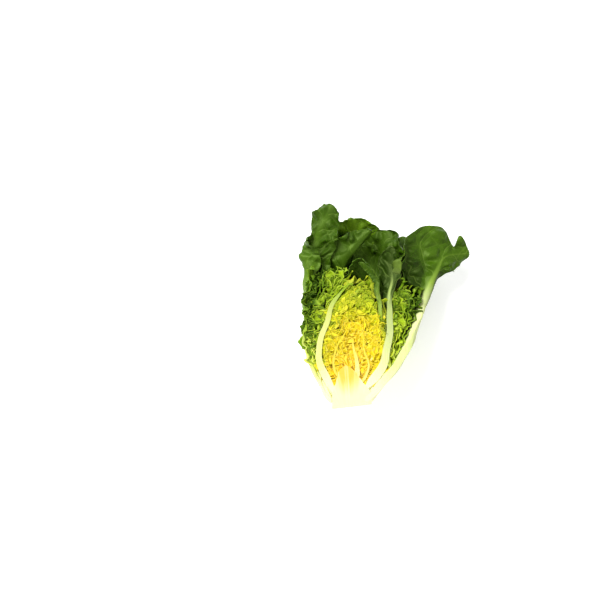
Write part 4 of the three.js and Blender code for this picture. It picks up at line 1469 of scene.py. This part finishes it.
def core_mesh():
    bm = bmesh.new()
    y = np.linspace(0, CORE_TIP, CORE_RINGS)
    count = len(CORE_RADIUS)
    marks = [CORE_STEP * k for k in range(count)] + [CORE_TIP]
    at = np.interp(y, marks, range(count + 1)) / count
    radius = np.maximum(through(CORE_RADIUS + [0.0], at), 0.2)
    middle = AXIS_LEAN * y - CORE_LEAN * smoothstep(y, 12, 48)
    turns = 2 * np.pi * np.arange(CORE_SIDES) / CORE_SIDES
    rings = []
    for ring_y, ring_x, ring_radius in zip(y, middle, radius):
        flutes = 1
        for height, flute_count, twist in CORE_FLUTES:
            flutes = flutes + height * np.sin(flute_count * turns + ring_y / twist)
        knots = CORE_KNOTS * smoothstep(ring_y, *KNOTS_START)
        flutes = flutes + knots * np.sin(0.8 * ring_y + 3 * np.cos(turns))
        out = ring_radius * flutes
        x, z = ring_x + out * np.cos(turns), CUT_HEIGHT + out * np.sin(turns)
        ring = np.stack([x, np.full(CORE_SIDES, ring_y), z], -1)
        rings.append([bm.verts.new(p) for p in to_part(ring)])
    for low, high in zip(rings, rings[1:]):
        for k in range(CORE_SIDES):
            bm.faces.new((low[k - 1], high[k - 1], high[k], low[k]))
    bm.faces.new(rings[0])
    bm.faces.new(reversed(rings[-1]))
    slope = Vector((-BUTT_SLOPE, 1, 0)).normalized()
    slice_off(bm, to_part(np.array(slope) * BUTT_START), -slope)
    bmesh.ops.recalc_face_normals(bm, faces=bm.faces[:])
    mesh = bpy.data.meshes.new("core")
    bm.to_mesh(mesh)
    bm.free()
    mesh.shade_smooth()
    return mesh


def core_finish():
    """Cream, with a warm glow round the growing point and pale rays from the butt."""
    material, tree, surface = new_material("core")
    position = add("ShaderNodeTexCoord", give="Object", tree=tree)
    grain = use_group(tree, CUT_TISSUE, position)["Grain"]
    x, y, _ = split(position)
    butt = to_part([0, -22, CUT_HEIGHT])
    aside, ahead = x - float(butt[0]), y - float(butt[1])
    rays = noise(join(aside / ahead * 16.0, ahead * 12.0, 0.0), 1.0)
    wide, high = (aside + 0.004) / 0.013, (ahead - 0.066) / 0.023
    away = calc("SQRT", wide * wide + high * high) + (rays - 0.5) * 0.7
    glow = ease(away, 0.55, 1.5, 1.0, 0.0)
    shade = mix(glow, colour(233, 229, 174), colour(237, 184, 38))
    shade = mix(ease(rays, 0.52, 0.7) * 0.4, shade, colour(238, 234, 192))
    shade = mix(grain * 0.2, shade, colour(224, 212, 148))
    fill(surface, {
        "Base Color": shade,
        "Roughness": 0.45,
        "Normal": bump(grain, 0.25, 0.0003),
        "Subsurface Weight": 0.3,
        "Subsurface Radius": (1.0, 0.9, 0.5),
        "Subsurface Scale": 0.004,
    })
    return material


core = core_mesh()
core.materials.append(core_finish())
knife(core, lower=CORE_SUNK)
core = put("core_fine", core)
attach(core, "root")
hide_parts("core")

# %% [markdown]
# ## The studio
#
# The head lies on a pale, plain floor. A large soft light from the upper left draws the folds,
# and a bright, even world keeps the shadows soft. The camera looks straight down.

# %% Floor
FLOOR_HALF = 3.0

corners = [(-1, -1), (1, -1), (1, 1), (-1, 1)]
floor_mesh = bpy.data.meshes.new("floor")
floor_mesh.from_pydata([(FLOOR_HALF * x, FLOOR_HALF * y, 0) for x, y in corners], [], [(0, 1, 2, 3)])
floor_material, _, floor_surface = new_material("floor")
fill(floor_surface, {
    "Base Color": (0.94, 0.94, 0.94, 1),
    "Roughness": 0.8,
    "Emission Color": (1, 1, 1, 1),
    "Emission Strength": 0.3,
})
floor_mesh.materials.append(floor_material)
floor = put("floor", floor_mesh)


# %% Lights
def soft_light(name, place, size, power):
    light = bpy.data.lights.new(name, "AREA")
    light.shape = "DISK"
    light.size = size
    light.energy = power
    lamp = put(name, light)
    lamp.location = place
    lamp.rotation_euler = (-Vector(place)).to_track_quat("-Z", "Y").to_euler()


soft_light("window", (-1.0, 1.0, 1.4), 1.2, 58)
soft_light("fill", (1.1, -0.6, 1.5), 1.6, 8)
world = bpy.data.worlds.new("studio")
world.use_nodes = True
fill(world.node_tree.nodes["Background"], {"Color": (1, 1, 1, 1), "Strength": 0.64})
bpy.context.scene.world = world
bpy.context.scene.view_settings.view_transform = "Standard"

# %% Camera
VIEW_CENTRE = (-51, 109)  # mm from the foot of the head
FIELD = 0.6  # metres seen across the cut face
CAMERA_ABOVE = 1.6  # metres above the cut face

camera = bpy.data.cameras.new("camera")
camera.sensor_width = 36
camera.lens = camera.sensor_width * CAMERA_ABOVE / FIELD
camera_object = put("camera", camera)
centre = to_part([*VIEW_CENTRE, CUT_HEIGHT])
camera_object.location = (centre[0], centre[1], centre[2] + CAMERA_ABOVE)
bpy.context.scene.camera = camera_object
